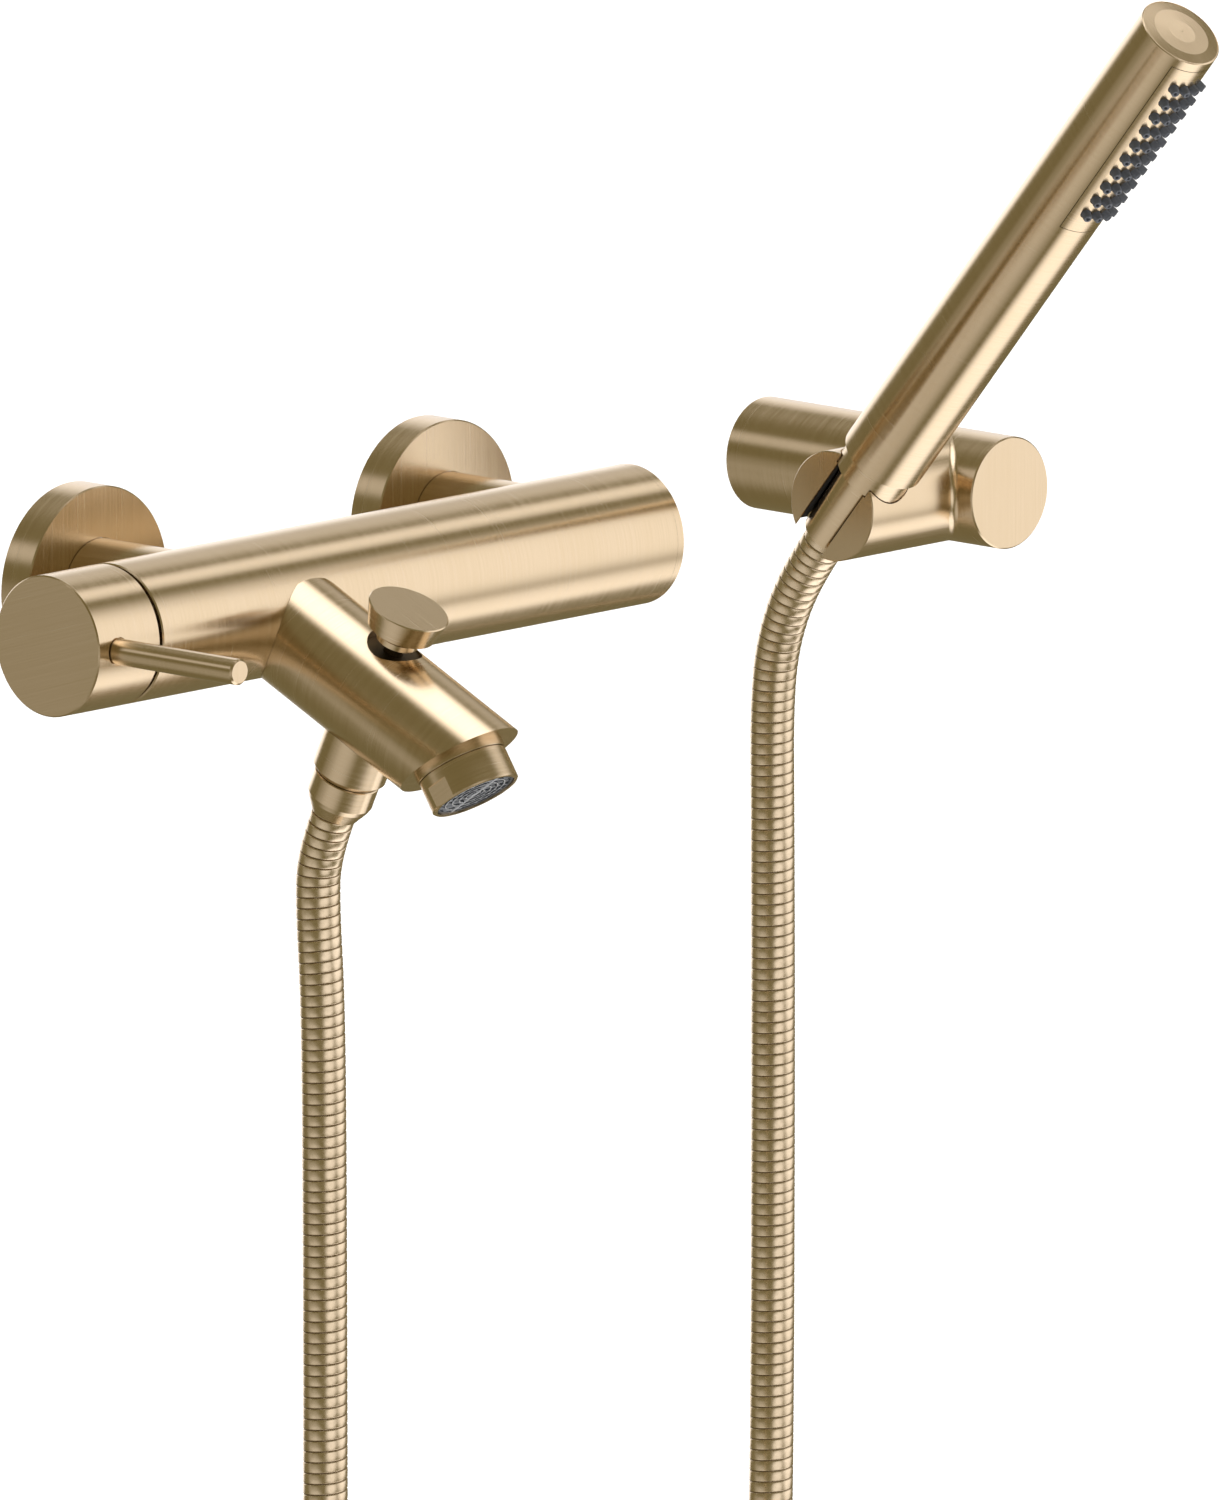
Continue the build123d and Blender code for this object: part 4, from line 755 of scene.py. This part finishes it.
# %% Slats and bar
SLAT_STEP = 0.0027
SLATS_EACH_SIDE = 4
SLAT_WIDTH = 0.00026
SLAT_HEIGHT = 0.0008
SLAT_REACH = INSERT_RADIUS - 0.0006
BAR_LENGTH = 2 * INSERT_RADIUS - 0.0013
BAR_WIDTH = 0.00085
BAR_HEIGHT = 0.0012
BAR_FOOT = -0.0010
BAR_EDGE = 0.25                # share of a bar's thinner side taken by its bevel


def lay_bar(size, away):
    """A thin bevelled bar, shaped in edit mode from a cube."""
    start_clean()
    bpy.ops.mesh.primitive_cube_add(size=1.0, location=(0.0, away, BAR_FOOT + size[2] / 2))
    bar = bpy.context.active_object
    bpy.ops.object.mode_set(mode="EDIT")
    bpy.ops.transform.resize(value=size, center_override=bar.location)
    bpy.ops.mesh.bevel(offset=min(size) * BAR_EDGE, segments=2)
    bpy.ops.object.mode_set(mode="OBJECT")
    return bar


bars = []
for number in range(-SLATS_EACH_SIDE, SLATS_EACH_SIDE + 1):
    away = number * SLAT_STEP
    length = 2 * math.sqrt(SLAT_REACH**2 - away**2)
    bars.append(lay_bar((length, SLAT_WIDTH, SLAT_HEIGHT), away))
bars.append(lay_bar((BAR_WIDTH, BAR_LENGTH, BAR_HEIGHT), 0.0))
print("slats and bar", len(bars))

# %% Join and finish the grille
SPOUT_LENGTH = 0.0863
INSERT_FACE = 0.0114
RIB_REACH = 0.0116
FACE_WITHIN = 0.0001

# painted light and shade: a pale copy of the grey plastic for lit faces, a dark slate copy
# for shaded ones
grille_shade = moulded("grille_shade_moulding", (0.050, 0.056, 0.066), (0.080, 0.088, 0.102), 0.40, 3000)
grille_light = moulded("grille_light_moulding", (0.30, 0.31, 0.33), (0.40, 0.41, 0.43), 0.35, 3000)
for piece in [grille] + bars:
    piece.data.materials.append(grille_shade)
    piece.data.materials.append(grille_light)
# rib tops that look out get painted light; channel floors, sides and the rim get painted
# shade
for face in grille.data.polygons:
    lit_top = face.normal.z > LOOKS_UP and face.center.z > -FACE_WITHIN
    face.material_index = 1 if lit_top and face.center.xy.length < RIB_REACH else 0
# the slats and the bar get painted light all over
for bar in bars:
    for face in bar.data.polygons:
        face.material_index = 1
start_clean()
for piece in [grille] + bars:
    piece.select_set(True)
bpy.context.view_layer.objects.active = grille
bpy.ops.object.join()
jet_centre = Vector(SPOUT_MIDDLE) + Vector(SPOUT_AXIS) * SPOUT_LENGTH
settle(grille, "aerator_grille", jet_centre + Vector(JET_AXIS) * INSERT_FACE, JET_AXIS)
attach(grille, "fixed")
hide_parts("aerator_insert")
print(grille.name, "low corner", [round(v, 4) for v in grille.bound_box[0]])

# %% [markdown]
# ## The spray nozzles
# Forty soft nozzles stand out of the curved plate, so that scale can be rubbed
# off them. One is shaped from a short cone: its tip is narrower and rounded,
# and its end face is inset and pushed in to make the jet's hole. Each of the
# forty is a copy with its own mesh, turned to point straight out of the tube,
# and the copies are joined into one piece.

# %% One nozzle
NOZZLE_FOOT = 0.00165
NOZZLE_TIP = 0.00118
TUBE_RADIUS = 0.0129
NOZZLE_LOW = TUBE_RADIUS - 0.0009      # its foot is sunk into the plate
NOZZLE_HIGH = TUBE_RADIUS + 0.0023
NOZZLE_SIDES = 20
TIP_ROUND = 0.00022
HOLE_RADIUS = 0.00058
HOLE_DEPTH = 0.0012
HOLE_TAPER = 0.7
LOOKS_STRAIGHT_UP = 0.98

start_clean()
bpy.ops.mesh.primitive_cone_add(
    vertices=NOZZLE_SIDES,
    radius1=NOZZLE_FOOT,
    radius2=NOZZLE_TIP,
    depth=NOZZLE_HIGH - NOZZLE_LOW,
    location=(0, 0, (NOZZLE_HIGH + NOZZLE_LOW) / 2),
)
nozzle = bpy.context.active_object
bpy.ops.object.mode_set(mode="EDIT")
pick_top(LOOKS_UP)
bpy.ops.mesh.bevel(offset=TIP_ROUND, segments=2)
pick_top(LOOKS_STRAIGHT_UP)
bpy.ops.mesh.inset(thickness=NOZZLE_TIP - TIP_ROUND - HOLE_RADIUS, depth=0.0)
bpy.ops.mesh.extrude_region_move(TRANSFORM_OT_translate={"value": (0, 0, -HOLE_DEPTH)})
bpy.ops.transform.resize(value=(HOLE_TAPER, HOLE_TAPER, 1.0))
bpy.ops.object.mode_set(mode="OBJECT")
bpy.ops.object.transform_apply(location=True, rotation=True, scale=True)
print("nozzle", len(nozzle.data.polygons), "faces")

# %% Forty nozzles
PLATE_LOW = 0.1322
PLATE_LENGTH = 0.0697
ROWS = 10
ROW_PITCH = 0.00604
FAN = (-24.0, -8.0, 8.0, 24.0)
first_row = PLATE_LOW + (PLATE_LENGTH - (ROWS - 1) * ROW_PITCH) / 2
copies = []
for row in range(ROWS):
    foot = Vector(GRIP_MIDDLE) + Vector(GRIP_AXIS) * (first_row + row * ROW_PITCH)
    for fan in FAN:
        a = math.radians(fan)
        facing = math.cos(a)
        out = (math.sin(a), -math.cos(GRIP_LEAN) * facing, -math.sin(GRIP_LEAN) * facing)
        one = nozzle.copy()
        one.data = nozzle.data.copy()
        bpy.context.scene.collection.objects.link(one)
        settle(one, "nozzle_copy", foot, out)
        copies.append(one)
bpy.data.objects.remove(nozzle)
start_clean()
for one in copies:
    one.select_set(True)
bpy.context.view_layer.objects.active = copies[0]
bpy.ops.object.join()
jets = copies[0]
jets.name = "jet_nozzles"
jets.data.materials.clear()
jets.data.materials.append(INNER["grey_silicone"][0])
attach(jets, "hand_shower")
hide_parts("spray_nozzles")
print("nozzles", len(copies), "faces", len(jets.data.polygons))

# %% [markdown]
# ## The dark well under the knob
# The diverter's bush and spindle sit deep in the spout, and the gap round the
# knob's neck looks nearly black there. Painted shade, a near black brass, gives
# that look.

# %% Painted shade on the bush
# painted shade: the dark brass stands in for the shadow in the well
WELL_SHADE_DEEP = (0.095, 0.068, 0.036)
WELL_SHADE_LIGHT = (0.135, 0.098, 0.052)
well_shade = moulded("well_shade_brass", WELL_SHADE_DEEP, WELL_SHADE_LIGHT, 0.50, 2500, 1.0)
give(["diverter_bush", "diverter_spindle"], well_shade)
print("well_shaded", well_shade.name)
